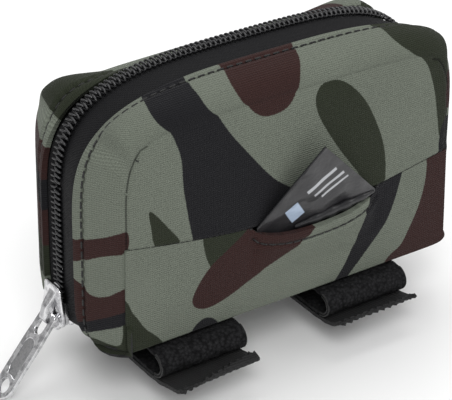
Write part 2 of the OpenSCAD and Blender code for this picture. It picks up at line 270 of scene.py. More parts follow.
def gusset_patch(shell, side, u, v, joint_q, share):
    """A side wall, from the dart (v = 0) back to the seam (v = 1).

    Its first share of rows runs up to joint_q, where the face above it starts.
    """
    q = np.where(u < share, mix(-1, joint_q, u / share),
                 mix(joint_q, shell["tip"], (u - share) / (1 - share)))
    s = np.cos(v * math.pi / 2)
    p = side * np.ones_like(u)
    x, y, z = wall(shell, p, q, s)
    out = np.clip(1 - 2 / math.pi * np.arccos(s), 0, 1)
    fu, fv = fabric_wall(shell, p, q, out)
    straight = 1 - smooth(0.6, 0.85, q)
    fu = mix(fu, side * (shell["face_half"] + (1 - s) * 13.8), straight)
    return x, y, z, fu, mix(fv, z, straight)


# ---------------------------------------------------------------- mesh helpers

def deselect():
    if bpy.context.object and bpy.context.object.mode != "OBJECT":
        bpy.ops.object.mode_set(mode="OBJECT")
    bpy.ops.object.select_all(action="DESELECT")


def pick(*objects):
    deselect()
    for o in objects:
        o.select_set(True)
    bpy.context.view_layer.objects.active = objects[0]


def coords(obj):
    co = np.empty(len(obj.data.vertices) * 3)
    obj.data.vertices.foreach_get("co", co)
    return co.reshape(-1, 3)


def set_coords(obj, co):
    obj.data.vertices.foreach_set("co", np.asarray(co, float).ravel())
    obj.data.update()


def grid(name, cols, rows, surface):
    """A grid laid on a surface: surface(u, v) gives x, y, z and the fabric place, in millimetres."""
    deselect()
    bpy.ops.mesh.primitive_grid_add(x_subdivisions=cols, y_subdivisions=rows, size=2)
    obj = bpy.context.object
    obj.name = name
    flat = coords(obj)
    u, v = (flat[:, 0] + 1) / 2, (flat[:, 1] + 1) / 2
    x, y, z, fu, fv = surface(u, v)
    set_coords(obj, np.stack([x, y, z], 1) * MM)
    attribute = obj.data.attributes.new("fabric", "FLOAT_VECTOR", "POINT")
    attribute.data.foreach_set("vector", np.stack([fu, fv, 0 * fu], 1).astype(np.float32).ravel())
    return obj


def edit_all(obj):
    """Goes into edit mode with all of a mesh selected."""
    pick(obj)
    bpy.ops.object.mode_set(mode="EDIT")
    bpy.ops.mesh.select_all(action="SELECT")


def close_up(obj, gap=0.0):
    """Merges vertices that lie within a gap, in millimetres, and turns the normals outwards."""
    edit_all(obj)
    if gap:
        bpy.ops.mesh.remove_doubles(threshold=gap * MM)
    bpy.ops.mesh.normals_make_consistent(inside=False)
    bpy.ops.object.mode_set(mode="OBJECT")
    return obj


def flip(obj):
    """Turns a mesh inside out."""
    edit_all(obj)
    bpy.ops.mesh.flip_normals()
    bpy.ops.object.mode_set(mode="OBJECT")
    return obj


def mesh_piece(name, places, faces):
    """An object from its vertices' places, in metres, and its faces."""
    mesh = bpy.data.meshes.new(name)
    mesh.from_pydata([tuple(place) for place in places], [], faces)
    obj = bpy.data.objects.new(name, mesh)
    bpy.context.collection.objects.link(obj)
    return close_up(obj)


def join(name, objects, gap):
    """Joins patches into one piece and closes the lines where they meet."""
    pick(*objects)
    bpy.ops.object.join()
    obj = bpy.context.object
    obj.name = name
    return close_up(obj, gap)


def face_out(obj, middle):
    """Turns an open sheet so that its normals point away from a place inside the pouch."""
    total = sum((f.center - Vector(middle)).dot(f.normal) * f.area for f in obj.data.polygons)
    return flip(obj) if total < 0 else obj


def modify(obj, kind, **settings):
    """Adds a modifier, sets it and applies it."""
    pick(obj)
    modifier = obj.modifiers.new(kind.lower(), kind)
    for name, value in settings.items():
        setattr(modifier, name, value)
    bpy.ops.object.modifier_apply(modifier=modifier.name)
    return obj


def smooth_shade(obj, angle=40):
    pick(obj)
    bpy.ops.object.shade_smooth_by_angle(angle=math.radians(angle))
    return obj


def fabric_of(obj):
    data = np.empty(len(obj.data.vertices) * 3, np.float32)
    obj.data.attributes["fabric"].data.foreach_get("vector", data)
    return data.reshape(-1, 3)[:, :2].astype(float)


def normals_of(obj):
    data = np.empty(len(obj.data.vertices) * 3, np.float32)
    obj.data.vertex_normals.foreach_get("vector", data)
    return data.reshape(-1, 3).astype(float)


def set_material(obj, *materials):
    obj.data.materials.clear()
    for m in materials:
        obj.data.materials.append(m)
    return obj


def finish(obj, material, slot, body, *nodes, angle=None):
    """Gives a piece its material and its body, and hides the CAD nodes that it stands for; its slot is
    not used.
    """
    if material:
        set_material(obj, material)
    if angle:
        smooth_shade(obj, angle)
    if nodes:
        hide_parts(*nodes)
    if body:
        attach(obj, body)
    return obj


def puff(obj, pinned, pressure, cap, frames=20):
    """Fills a sheet out by cloth simulation, held along its seams, and limits how far it moves."""
    rest = coords(obj)
    group = obj.vertex_groups.new(name="seams")
    for i in np.flatnonzero(pinned):
        group.add([int(i)], 1.0, "REPLACE")
    pick(obj)
    cloth = obj.modifiers.new("cloth", "CLOTH")
    settings = cloth.settings
    settings.quality = 6
    settings.mass = 0.3
    settings.tension_stiffness = settings.compression_stiffness = 12
    settings.shear_stiffness = 6
    settings.bending_stiffness = 0.6
    settings.vertex_group_mass = "seams"
    settings.use_pressure = True
    settings.uniform_pressure_force = pressure
    settings.effector_weights.gravity = 0
    cloth.point_cache.frame_start = 1
    cloth.point_cache.frame_end = frames
    for frame_number in range(1, frames + 1):
        bpy.context.scene.frame_set(frame_number)
    bpy.context.view_layer.update()
    bpy.ops.object.modifier_apply(modifier=cloth.name)
    bpy.context.scene.frame_set(1)
    move = coords(obj) - rest
    far = np.linalg.norm(move, axis=1, keepdims=True)
    move *= np.minimum(1, cap * MM / np.maximum(far, 1e-9))
    set_coords(obj, rest + move)
    obj.vertex_groups.clear()
    return obj


def along(points, step):
    """Places at even steps along a line of points, in the points' own units."""
    points = np.asarray(points, float)
    lengths = np.r_[0, np.cumsum(np.linalg.norm(np.diff(points, axis=0), axis=1))]
    at = np.arange(0, lengths[-1], step)
    return np.stack([np.interp(at, lengths, points[:, i]) for i in range(points.shape[1])], 1)


def line_distance(points, line):
    """Distance from each flat point to a line of flat points, and how far along it that is."""
    best = np.full(len(points), 1e9)
    run_at = np.zeros(len(points))
    run = 0.0
    for a, b in zip(line[:-1], line[1:]):
        d = b - a
        size = d @ d + 1e-12
        t = np.clip(((points - a) @ d) / size, 0, 1)
        gap = np.linalg.norm(points - a - t[:, None] * d, axis=1)
        near = gap < best
        best[near] = gap[near]
        run_at[near] = run + t[near] * math.sqrt(size)
        run += math.sqrt(size)
    return best, run_at


def sink(obj, line, depth, width, pucker=0.0, pitch=2.7, fine=1.0, way=None):
    """Pulls the fabric in along a seam's places, and notes on it how near the seam is, which sets the
    painted shade along the seam.

    The fabric goes against its own normals, or all of it one way where the seam runs
    close to a corner, so that nothing folds over there.
    """
    places = coords(obj) / MM
    gap, run = line_distance(places, np.asarray(line, float))
    push = depth * np.exp(-(gap / width) ** 2)
    push *= 1 + pucker * np.cos(2 * math.pi * run / pitch)
    if way is None:
        puffed = 0.4 * depth * np.exp(-(((gap - 2.2 * width) / width) ** 2))
        moved = normals_of(obj) * (puffed - push)[:, None]
    else:
        moved = push[:, None] * (np.asarray(way, float) / np.linalg.norm(way))
    set_coords(obj, coords(obj) + moved * MM)
    attribute = obj.data.attributes.get("seam_gap")
    if attribute is None:
        attribute = obj.data.attributes.new("seam_gap", "FLOAT", "POINT")
        nearest = np.full(len(gap), 9.0, np.float32)
    else:
        nearest = np.empty(len(gap), np.float32)
        attribute.data.foreach_get("value", nearest)
    attribute.data.foreach_set("value", np.minimum(nearest, gap * fine).astype(np.float32))


# ---------------------------------------------------------------- shader maths

class Value:
    """A number or a socket in a node tree, with arithmetic that adds Math nodes."""

    def __init__(self, tree, socket):
        self.tree = tree
        self.socket = socket

    def math(self, operation, *others, clamp=False):
        settings = {"operation": operation, "use_clamp": clamp}
        return self.tree.add("ShaderNodeMath", settings, self, *others)

    def __add__(self, other):
        return self.math("ADD", other)

    __radd__ = __add__

    def __sub__(self, other):
        return self.math("SUBTRACT", other)

    def __rsub__(self, other):
        return self.math("MULTIPLY", -1.0).math("ADD", other)

    def __mul__(self, other):
        return self.math("MULTIPLY", other)

    __rmul__ = __mul__

    def __truediv__(self, other):
        return self.math("DIVIDE", other)

    def __rtruediv__(self, other):
        return self.math("POWER", -1.0).math("MULTIPLY", other)

    def sine(self):
        return self.math("SINE")

    def clamp(self):
        return self.math("ADD", 0.0, clamp=True)

    def ramp(self, low, high):
        """0 below low, 1 above high, smooth between."""
        return self.tree.add("ShaderNodeMapRange", {"interpolation_type": "SMOOTHSTEP"}, out="Result",
                             inputs={"Value": self, "From Min": low, "From Max": high})


class Shader:
    """One material's node tree, with short ways to add what the materials here use."""

    def __init__(self, name, **constants):
        self.material = bpy.data.materials.new(name)
        self.material.use_nodes = True
        self.nodes = self.material.node_tree.nodes
        self.links = self.material.node_tree.links
        self.bsdf = self.nodes["Principled BSDF"]
        for socket, value in constants.items():
            self.bsdf.inputs[socket.replace("_", " ")].default_value = value

    def add(self, kind, settings, *values, inputs=None, out=0):
        """Adds a node, sets it and feeds its inputs, some in order and some by name."""
        node = self.nodes.new(kind)
        for name, value in settings.items():
            setattr(node, name, value)
        for socket, value in [*enumerate(values), *(inputs or {}).items()]:
            self.feed(node.inputs[socket], value)
        return Value(self, node.outputs[out])

    def feed(self, socket, value):
        if isinstance(value, Value):
            self.links.new(value.socket, socket)
        elif value is not None:
            socket.default_value = value

    def split(self, vector):
        first = self.add("ShaderNodeSeparateXYZ", {}, vector)
        return [Value(self, socket) for socket in first.socket.node.outputs]

    def attribute(self, name, out="Fac"):
        return self.add("ShaderNodeAttribute", {"attribute_name": name}, out=out)

    def object_mm(self):
        at = self.add("ShaderNodeTexCoord", {}, out="Object")
        return self.add("ShaderNodeVectorMath", {"operation": "SCALE"}, at, inputs={"Scale": 1 / MM})

    def stretch(self, vector, factors):
        return self.add("ShaderNodeVectorMath", {"operation": "MULTIPLY"}, vector, factors)

    def noise(self, vector, scale, detail=2.0, roughness=0.5):
        return self.add("ShaderNodeTexNoise", {}, out="Fac", inputs={
            "Vector": vector, "Scale": scale, "Detail": detail, "Roughness": roughness})

    def cells(self, vector, scale):
        return self.add("ShaderNodeTexVoronoi", {}, out="Distance",
                        inputs={"Vector": vector, "Scale": scale})

    def blend(self, a, b, factor):
        """A mix of two colours; the node keeps its colour inputs and output at these places."""
        return self.add("ShaderNodeMix", {"data_type": "RGBA"}, factor, inputs={6: a, 7: b}, out=2)

    def colour(self, value):
        self.feed(self.bsdf.inputs["Base Color"], value)

    def roughness(self, value):
        self.feed(self.bsdf.inputs["Roughness"], value)

    def bump(self, height, distance, strength=1.0):
        bumped = self.add("ShaderNodeBump", {}, out="Normal", inputs={
            "Strength": strength, "Distance": distance * MM, "Height": height})
        self.feed(self.bsdf.inputs["Normal"], bumped)


def rgb(colour, factor=1.0):
    return tuple(c * factor for c in colour[:3]) + (1.0,)


# ---------------------------------------------------------------- camouflage print

# Each blob is a closed round outline on the flat fabric, in millimetres: across from the
# pouch's middle, and up from its underside.
FRONT_BLOBS = {
    "black": [
        [(-35, 77), (-37, 69), (-37.4, 63), (-34.8, 56.5), (-33, 50.6), (-32.6, 44), (-31.6, 37),
         (-30, 28), (-29, 22), (-14, 22), (-6, 27), (2, 31), (-2.2, 34.6), (-7.3, 38.8),
         (-13.4, 46.2), (-20, 55), (-23.6, 62.4), (-23.4, 68.5), (-23.5, 77)],
        [(-66, 4.6), (-61, 4.9), (-54, 7.4), (-48, 10.4), (-48, 13.6), (-54, 10.8), (-61, 8),
         (-66, 7.6)],
        [(46, 24), (52, 23), (70, 24), (70, 38), (52, 39), (46, 37)],
    ],
    "brown": [
        [(-12, 80), (-13.6, 72), (-15, 66.5), (-14.6, 61), (-12, 57), (-8.2, 55.4), (-3, 56.2),
         (0.4, 60), (2.4, 65), (4.6, 71), (5, 80)],
        [(48, -6), (70, -6), (70, 10), (56, 9.6), (47.6, 12)],
        [(-66, 31.6), (-61, 31.2), (-54, 33.2), (-48, 35.5), (-48, 30.4), (-54, 28), (-61, 25.2),
         (-66, 25)],
        [(-66, 20.2), (-61, 19.8), (-57, 16.6), (-53, 17.2), (-48, 20), (-48, 13.2), (-54, 10.4),
         (-61, 7.4), (-66, 7)],
        [(47.4, 42), (52, 41), (70, 41), (70, 53), (52, 52), (47.6, 50)],
    ],
    "olive": [
        [(8.8, 59.6), (5.6, 57.2), (6.0, 52), (11, 43), (17, 34.5), (23, 26.6), (26.4, 24.8),
         (27.8, 29), (26.9, 37), (24, 45), (19.8, 52.6), (14, 58.4)],
        [(28.4, 84), (28.6, 70), (30.6, 65.2), (35.2, 61), (39.4, 56.6), (41.5, 51.9),
         (43, 46.8), (44.4, 39), (45.6, 34), (48.4, 38), (49, 46), (52, 56), (70, 62), (70, 84)],
        [(-41.6, 39.6), (-41.4, 35), (-39.9, 29), (-33.6, 28.6), (-36.6, 33.6)],
        [(-49.4, 16), (-46.2, 11), (-43.4, 4.6), (-41, -4), (-62, -6), (-60, 4), (-50, 4)],
    ],
}
LOWER_BLOBS = {
    "black": [
        [(23.5, 36), (22.8, 26), (21.4, 21), (20.2, 15.5), (17.6, 8.5), (14.1, 1.9), (11, -6),
         (15, -6), (18.2, 1.5), (21.4, 5.8), (25, 9.7), (29.1, 15.1), (31.6, 21.1), (33.4, 27.5),
         (35, 36)],
        [(-30.5, -3), (-29.4, 2.2), (-26.2, 4.6), (-22.6, 2.6), (-20.4, -3)],
    ],
    "brown": [
        [(-10, 32), (-14.5, 26.4), (-19.6, 22.8), (-24.6, 19.6), (-28, 15.7), (-30, 11.2),
         (-28.6, 8.4), (-24.7, 7.4), (-18.5, 9), (-10.3, 12.8), (-1.6, 17.5), (3.2, 21),
         (5, 24.5), (0, 32)],
        [(41.6, 36), (41.6, 27.4), (41.2, 21.6), (39.4, 15.4), (36.9, 9.9), (34.5, 5.6),
         (29.5, 1), (26, -16), (70, -16), (70, 36)],
    ],
    "olive": [
        [(-26, 32), (-8, 32), (-17, 22), (-24.6, 18.6)],
        [(-50, 17), (-46.2, 12.5), (-43, 7.4), (-38.6, 2.4), (-35, -6), (-62, -8), (-60, 4)],
    ],
}
BACK_BLOBS = {
    "black": [
        [(-70, 30), (-60, 30), (-48, 31), (-38, 37), (-36, 43), (-46, 41), (-60, 38.5), (-70, 38)],
        [(-10, 74), (-14, 60), (-24, 50), (-27, 36), (-20, 22), (-8, 14), (-4, 22), (-12, 34),
         (-8, 46), (2, 56), (4, 74)],
        [(44, 58), (30, 52), (26, 40), (34, 28), (48, 26), (70, 30), (70, 40), (50, 40),
         (46, 46)],
    ],
    "brown": [
        [(-70, 36), (-58, 36.5), (-47, 39), (-42, 48), (-50, 49), (-60, 47), (-70, 46.5)],
        [(-70, 32), (-58, 32), (-46, 32), (-36, 24), (-36, 14), (-46, 17), (-58, 20),
         (-70, 20)],
        [(8, 40), (16, 50), (22, 62), (20, 78), (38, 78), (36, 62), (26, 50), (20, 36), (10, 26),
         (4, 30)],
        [(6, -6), (8, 8), (20, 14), (34, 12), (46, 16), (70, 16), (70, -6)],
    ],
    "olive": [
        [(-70, 78), (-66, 56), (-56, 53), (-44, 56), (-34, 60), (-30, 66), (-28, 78)],
        [(-70, 22.6), (-60, 22), (-46, 18), (-40, 7), (-30, 3), (-20, 8), (-10, 4), (-12, -6),
         (-44, -6), (-50, 6), (-60, 11), (-70, 11)],
        [(-2, 40), (6, 24), (22, 22), (18, 28), (6, 36)],
        [(46, 78), (48, 62), (58, 52), (70, 50), (70, 78)],
    ],
}


def round_outline(points, steps=7):
    """A closed smooth line through a few points."""
    points = np.asarray(points, float)
    t = np.linspace(0, 1, steps, endpoint=False)[:, None]
    out = []
    for i in range(len(points)):
        a, b, c, d = (points[(i + k) % len(points)] for k in (-1, 0, 1, 2))
        out.append(0.5 * (2 * b + (c - a) * t + (2 * a - 5 * b + 4 * c - d) * t ** 2
                          + (3 * b - a - 3 * c + d) * t ** 3))
    return np.concatenate(out)


def inside_depth(points, outline):
    """How deep each point lies inside an outline: negative outside it."""
    closed = np.r_[outline, outline[:1]]
    gap, _ = line_distance(points, closed)
    x, y = points[:, 0], points[:, 1]
    crossings = np.zeros(len(points), bool)
    for a, b in zip(closed[:-1], closed[1:]):
        cut = (a[1] > y) != (b[1] > y)
        crossings ^= cut & (x < (b[0] - a[0]) * (y - a[1]) / (b[1] - a[1] + 1e-12) + a[0])
    return np.where(crossings, gap, -gap)


def print_camo(obj, blobs):
    """Writes on each vertex how deep it lies inside the blobs of each colour."""
    fabric = fabric_of(obj)
    for name, outlines in blobs.items():
        depth = np.full(len(fabric), -50.0)
        for outline in outlines:
            depth = np.maximum(depth, inside_depth(fabric, round_outline(outline)))
        attribute = obj.data.attributes.new(name, "FLOAT", "POINT")
        attribute.data.foreach_set("value", depth.astype(np.float32))
    if obj.data.attributes.get("seam_gap") is None:
        attribute = obj.data.attributes.new("seam_gap", "FLOAT", "POINT")
        attribute.data.foreach_set("value", np.full(len(fabric), 9.0, np.float32))


# ---------------------------------------------------------------- materials

def camo_material(colours):
    """Printed knit laminated to foam: soft ribs across it, blobs with slightly bled edges, painted
    shade in the knit's hollows and along its seams.
    """
    m = Shader("camo_knit", Roughness=0.82)
    m.bsdf.inputs["Sheen Weight"].default_value = 0.04
    m.bsdf.inputs["Sheen Roughness"].default_value = 0.45
    m.bsdf.inputs["Specular IOR Level"].default_value = 0.12
    place_on = m.attribute("fabric", "Vector")
    u, v, _ = m.split(place_on)
    bleed = m.noise(place_on, 2.4, 3.0) * 0.5 - 0.25
    colour = m.blend(rgb(colours.sage), rgb(colours.sage, 0.86), m.noise(place_on, 0.06, 4.0))
    for name in ("olive", "brown", "black"):
        inside = (m.attribute(name) + bleed).ramp(-0.12, 0.18)
        colour = m.blend(colour, rgb(getattr(colours, name)), inside)
    rib = (v * (2 * math.pi / 0.58) + (u * 7.0).sine() * 0.6).sine()
    stitch = (u * (2 * math.pi / 0.62)).sine()
    grain = m.noise(place_on, 1.9, 3.0, 0.7) - 0.5
    height = rib * 0.36 + stitch * 0.14 + grain * 1.5
    # Painted shade: the knit is darkened towards black in its hollows, where its bump height is low.
    knit_crest_level = (height * 0.5 + 0.5).clamp()
    shade = (0.0, 0.0, 0.0, 1.0)
    colour = m.blend(colour, m.blend(colour, shade, 0.62), (1 - knit_crest_level) * 0.9)
    # Painted shade: the print is darkened towards black near the seams, darts, rim and hem, where the
    # fabric is pulled in.
    seam = 1 - m.attribute("seam_gap").ramp(0.05, 0.5)
    m.colour(m.blend(colour, m.blend(colour, shade, 0.8), seam * 0.9))
    m.roughness(m.noise(place_on, 0.5, 3.0) * 0.16 + 0.72)
    m.bump(height, 0.2, 0.9)
    return m.material


def lining_material():
    """Black jersey on the inside of the padding."""
    m = Shader("lining_knit", Roughness=0.9)
    at = m.object_mm()
    x, y, z = m.split(at)
    weave = ((x + y) * 9.0).sine() * 0.5 + (z * 12.0).sine() * 0.5
    m.colour(m.blend((0.012, 0.012, 0.013, 1), (0.03, 0.03, 0.032, 1), weave.clamp()))
    m.bump(weave + m.noise(at, 2.0), 0.08)
    return m.material


def tape_material():
    """Woven zip tape: fine slanting twill with a soft sheen."""
    m = Shader("zip_tape_twill", Roughness=0.7)
    m.bsdf.inputs["Specular IOR Level"].default_value = 0.12
    along_at = m.attribute("fabric", "Vector")
    u, v, _ = m.split(along_at)
    twill = ((u * 1.0 + v * 0.9) * (2 * math.pi / 1.0)).sine()
    cross = (u * (2 * math.pi / 0.5)).sine()
    height = twill * 0.4 + cross * 0.2 + m.noise(along_at, 3.0) * 0.4
    tone = (height * 0.5 + 0.5).clamp()
    m.colour(m.blend((0.002, 0.002, 0.0023, 1), (0.011, 0.011, 0.0125, 1), tone))
    m.roughness(m.noise(along_at, 0.7) * 0.2 + 0.6)
    m.bump(height, 0.14)
    return m.material


def coil_material():
    """Black nylon monofilament, glossy on the crowns of its turns."""
    m = Shader("zip_coil_nylon", Roughness=0.3)
    m.bsdf.inputs["Specular IOR Level"].default_value = 0.6
    at = m.object_mm()
    m.colour(m.blend((0.006, 0.006, 0.007, 1), (0.016, 0.016, 0.018, 1), m.noise(at, 1.5)))
    m.roughness(m.noise(at, 2.2, 3.0) * 0.25 + 0.2)
    m.bump(m.noise(at, 5.0), 0.03)
    return m.material


def chrome_material(name, stipple=0.0, dark=0.5, tone=1.0):
    """Bright plating with faint wear and painted dark reflections, or a stippled sunk field."""
    m = Shader(name, Metallic=1.0, Roughness=0.12)
    at = m.object_mm()
    wear = m.noise(at, 0.9, 5.0, 0.65)
    # Painted reflection: dark blotches in the plating's colour stand for dark surroundings that it
    # would mirror; dark sets their strength.
    patches = m.noise(at, 0.42, 2.0).ramp(0.46, 0.6)
    bright = m.blend(rgb((0.74, 0.74, 0.75), tone), rgb((0.46, 0.46, 0.48), tone),
                     wear.ramp(0.45, 0.75))
    m.colour(m.blend(bright, (0.2, 0.2, 0.21, 1), patches * dark))
    if stipple:
        pits = m.cells(at, 3.4)
        m.roughness(pits.ramp(0.0, 0.7) * 0.2 + 0.34)
        m.bump(pits, stipple)
    else:
        m.roughness(wear * 0.14 + 0.1)
        m.bump(m.noise(at, 1.2, 3.0), 0.02)
    return m.material


def pile_material():
    """Looped pile webbing: dull black with lighter tips on its loops."""
    m = Shader("strap_pile", Roughness=0.95)
    m.bsdf.inputs["Specular IOR Level"].default_value = 0.15
    at = m.object_mm()
    tuft = m.cells(at, 1.1)
    fibre = m.noise(at, 4.0, 4.0, 0.7)
    tone = (fibre * 1.3 - tuft * 0.8).clamp()
    m.colour(m.blend((0.004, 0.004, 0.0045, 1), (0.034, 0.034, 0.036, 1), tone))
    m.bump(fibre * 0.7 - tuft, 0.35)
    return m.material


def webbing_material():
    """Flat woven nylon webbing with fine cross ribs."""
    m = Shader("strap_webbing", Roughness=0.75)
    at = m.object_mm()
    x, y, z = m.split(at)
    rib = ((y + z * 0.7) * (2 * math.pi / 0.8)).sine()
    warp = (x * (2 * math.pi / 0.7)).sine()
    height = rib * 0.4 + warp * 0.3 + m.noise(at, 3.0) * 0.5
    tone = (height * 0.4 + 0.4).clamp()
    m.colour(m.blend((0.002, 0.002, 0.0023, 1), (0.010, 0.010, 0.011, 1), tone))
    m.bump(height, 0.16)
    return m.material


def thread_material():
    """Twisted black sewing thread."""
    m = Shader("sewing_thread", Roughness=0.6)
    at = m.object_mm()
    x, y, z = m.split(at)
    twist = ((x + y + z) * 14.0).sine()
    m.colour(m.blend((0.006, 0.006, 0.006, 1), (0.03, 0.03, 0.03, 1), twist.clamp()))
    m.bump(twist, 0.05)
    return m.material


def film_material(name, printed):
    """Thin printed plastic film: satin grey print with pale plain bars, or glossy black."""
    m = Shader(name, Roughness=0.28)
    m.bsdf.inputs["Specular IOR Level"].default_value = 0.35
    m.bsdf.inputs["Coat Weight"].default_value = 0.15
    m.bsdf.inputs["Coat Roughness"].default_value = 0.1
    at = m.attribute("fabric", "Vector") if printed else m.object_mm()
    u, v, w = m.split(at)
    streak = m.noise(at, 0.35, 4.0)
    if not printed:
        m.colour(m.blend((0.006, 0.006, 0.007, 1), (0.02, 0.02, 0.022, 1), streak))
        m.bump(m.noise(at, 0.5, 3.0), 0.25)
        return m.material
    brushed = m.noise(m.stretch(at, (0.25, 3.0, 1.0)), 1.2, 3.0)
    colour = m.blend((0.008, 0.008, 0.009, 1), (0.036, 0.035, 0.038, 1), brushed)
    across = u * 0.81 + v * 0.59
    up = v * 0.81 - u * 0.59
    for shade, low, high, left, right in (
            ((0.36, 0.44, 0.56, 1), 19.6, 25.4, 13.2, 17.2),
            ((0.42, 0.43, 0.45, 1), 25.2, 26.4, 20.4, 29.6),
            ((0.42, 0.43, 0.45, 1), 22.2, 23.2, 21.4, 30.6),
            ((0.42, 0.43, 0.45, 1), 19.6, 20.4, 22.8, 31.0)):
        bar = (up.ramp(low, low + 0.3) * (1 - up.ramp(high, high + 0.3))
               * across.ramp(left, left + 0.3) * (1 - across.ramp(right, right + 0.3)))
        colour = m.blend(colour, shade, bar)
    m.colour(colour)
    m.roughness(streak * 0.2 + 0.24)
    m.bump(m.noise(at, 0.22, 3.0), 0.5, 0.7)
    return m.material


def card_material():
    """Grey-brown wound card of the roll's core."""
    m = Shader("core_card", Roughness=0.9)
    at = m.object_mm()
    x, y, z = m.split(at)
    winding = ((x * 0.6 + y * 0.3) * 1.4).sine()
    m.colour(m.blend((0.30, 0.22, 0.14, 1), (0.42, 0.32, 0.21, 1), m.noise(at, 1.0, 4.0)))
    m.bump(winding + m.noise(at, 3.0), 0.05)
    return m.material


MATERIALS = {}


def materials(scene):
    """All the pouch's materials, made once."""
    if not MATERIALS:
        MATERIALS.update({
            "camo": camo_material(scene.pouch_colours),
            "lining": lining_material(),
            "tape": tape_material(),
            "coil": coil_material(),
            "chrome": chrome_material("bright_plating", dark=0.55, tone=0.95),
            "stipple": chrome_material("stippled_plating", 0.2, 0.0, 0.42),
            "pile": pile_material(),
            "webbing": webbing_material(),
            "thread": thread_material(),
            "print": film_material("bag_print", True),
            "film": film_material("bag_film", False),
            "card": card_material(),
        })
    return MATERIALS


# ---------------------------------------------------------------- padded shells

def edge_mask(obj):
    """Which vertices lie on the open edge of a sheet."""
    counts = {}
    for f in obj.data.polygons:
        for key in f.edge_keys:
            counts[key] = counts.get(key, 0) + 1
    mask = np.zeros(len(obj.data.vertices), bool)
    for key, count in counts.items():
        if count == 1:
            mask[list(key)] = True
    return mask


def near_line(obj, line, reach):
    gap, _ = line_distance(coords(obj) / MM, np.asarray(line, float))
    return gap < reach


def dart_line(shell, side):
    """The dart's places: its straight run, and where it hooks over onto the face."""
    q = np.linspace(-1, side_q(shell, shell["face_top"] - DART_STOP), 24)
    x, y, z = wall(shell, side * np.ones_like(q), q, np.ones_like(q))
    hook = np.array([(0.1, 0.6), (0.4, 3.0), (1.1, 6.0), (2.4, 9.0), (4.0, 11.0), (5.8, 11.6)])
    hx = x[-1] - side * hook[:, 0]
    hz = z[-1] + hook[:, 1]
    hy = face_y(shell, hx, hz)
    return np.stack([x, y, z], 1), np.stack([hx, hy, hz], 1)


def round_way(w, start_q):
    """Up the left side of an outline from start_q, over its top and down its right side."""
    share = SIDE_SHARE
    up = mix(start_q, 1, w / share)
    down = mix(start_q, 1, (1 - w) / share)
    q = np.where(w < share, up, np.where(w > 1 - share, down, 1))
    return np.clip((w - share) / (1 - 2 * share) * 2 - 1, -1, 1), q


def rim_line(shell, inset):
    """The topstitching's places, at an even distance inside the zip seam."""
    w = np.linspace(0, 1, 160)
    p, q = round_way(w, -0.99)
    x, y, z = wall(shell, p, q, np.full_like(w, inset / 14.2))
    return np.stack([x, y, z], 1)


def finish_shell(obj, mats, blobs, body, *nodes):
    """Prints a padded sheet, gives it its thickness and puts it on its body, if it has one."""
    print_camo(obj, blobs)
    set_material(obj, mats["camo"], mats["lining"])
    modify(obj, "SOLIDIFY", thickness=FABRIC_T * 0.75 * MM, offset=-1, material_offset=1,
           use_even_offset=False)
    finish(obj, None, "camo_fabric", body, *nodes, angle=60)
    return obj


def wrap_shell(name, shell, low_z, cols, rows):
    """A shell's face with its top wall and both side walls, as one sheet."""
    way = np.sign(shell["seam_y"] - shell["face_y"])
    patches = [
        grid("face", cols, rows, lambda u, v: face_patch(shell, u, v, low_z)),
        grid("top", cols, 12, lambda u, v: top_patch(shell, u, v)),
    ]
    for side in (-1, 1):
        joint_q = float(side_q(shell, low_z(np.float64(side * shell["face_half"]))))
        extra = max(2, round((joint_q + 1) / (shell["tip"] - joint_q) * rows))
        share = extra / (rows + extra)
        patches.append(grid("side", rows + extra, 12, lambda u, v: gusset_patch(
            shell, side, u, v, joint_q, share)))
    obj = join(name, patches, 0.25)
    return face_out(obj, (0, shell["seam_y"] * MM + 0.002 * way, 0.03))


def padded_shell(name, shell, low_z, cols, rows, pressure, cap, dart_depth, hook_depth):
    """A shell's sheet, puffed out between its seams, with its darts and its rim pulled in."""
    obj = wrap_shell(name, shell, low_z, cols, rows)
    pins = edge_mask(obj)
    for side in (-1, 1):
        pins |= near_line(obj, dart_line(shell, side)[0], 0.5)
    puff(obj, pins, pressure, cap)
    modify(obj, "SUBSURF", levels=1, render_levels=1)
    way = np.sign(shell["seam_y"] - shell["face_y"])
    for side in (-1, 1):
        straight, hook = dart_line(shell, side)
        sink(obj, straight, dart_depth, DART_W, fine=1.3, way=(-side, way, 0))
        sink(obj, hook, hook_depth, DART_W, fine=1.3, way=(-side, way, -0.3))
    sink(obj, rim_line(shell, RIM_INSET), 0.6, RIM_W, pucker=0.35)
    return obj


class POUCH_OT_front_shell(bpy.types.Operator):
    """Builds the front upper panel with its two darted side gussets"""
    bl_idname = "pouch.front_shell"
    bl_label = "Front shell"

    def execute(self, context):
        mats = materials(context.scene)
        obj = padded_shell("front_shell", FRONT, seam_z, 110, 44, 2.2, 1.4, 0.7, 0.5)
        sink(obj, panel_seam(), 0.5, SEAM_W, pucker=0.2)
        finish_shell(obj, mats, FRONT_BLOBS, "front_half",
                     "front_upper_panel", "front_left_gusset", "front_right_gusset")
        return {"FINISHED"}


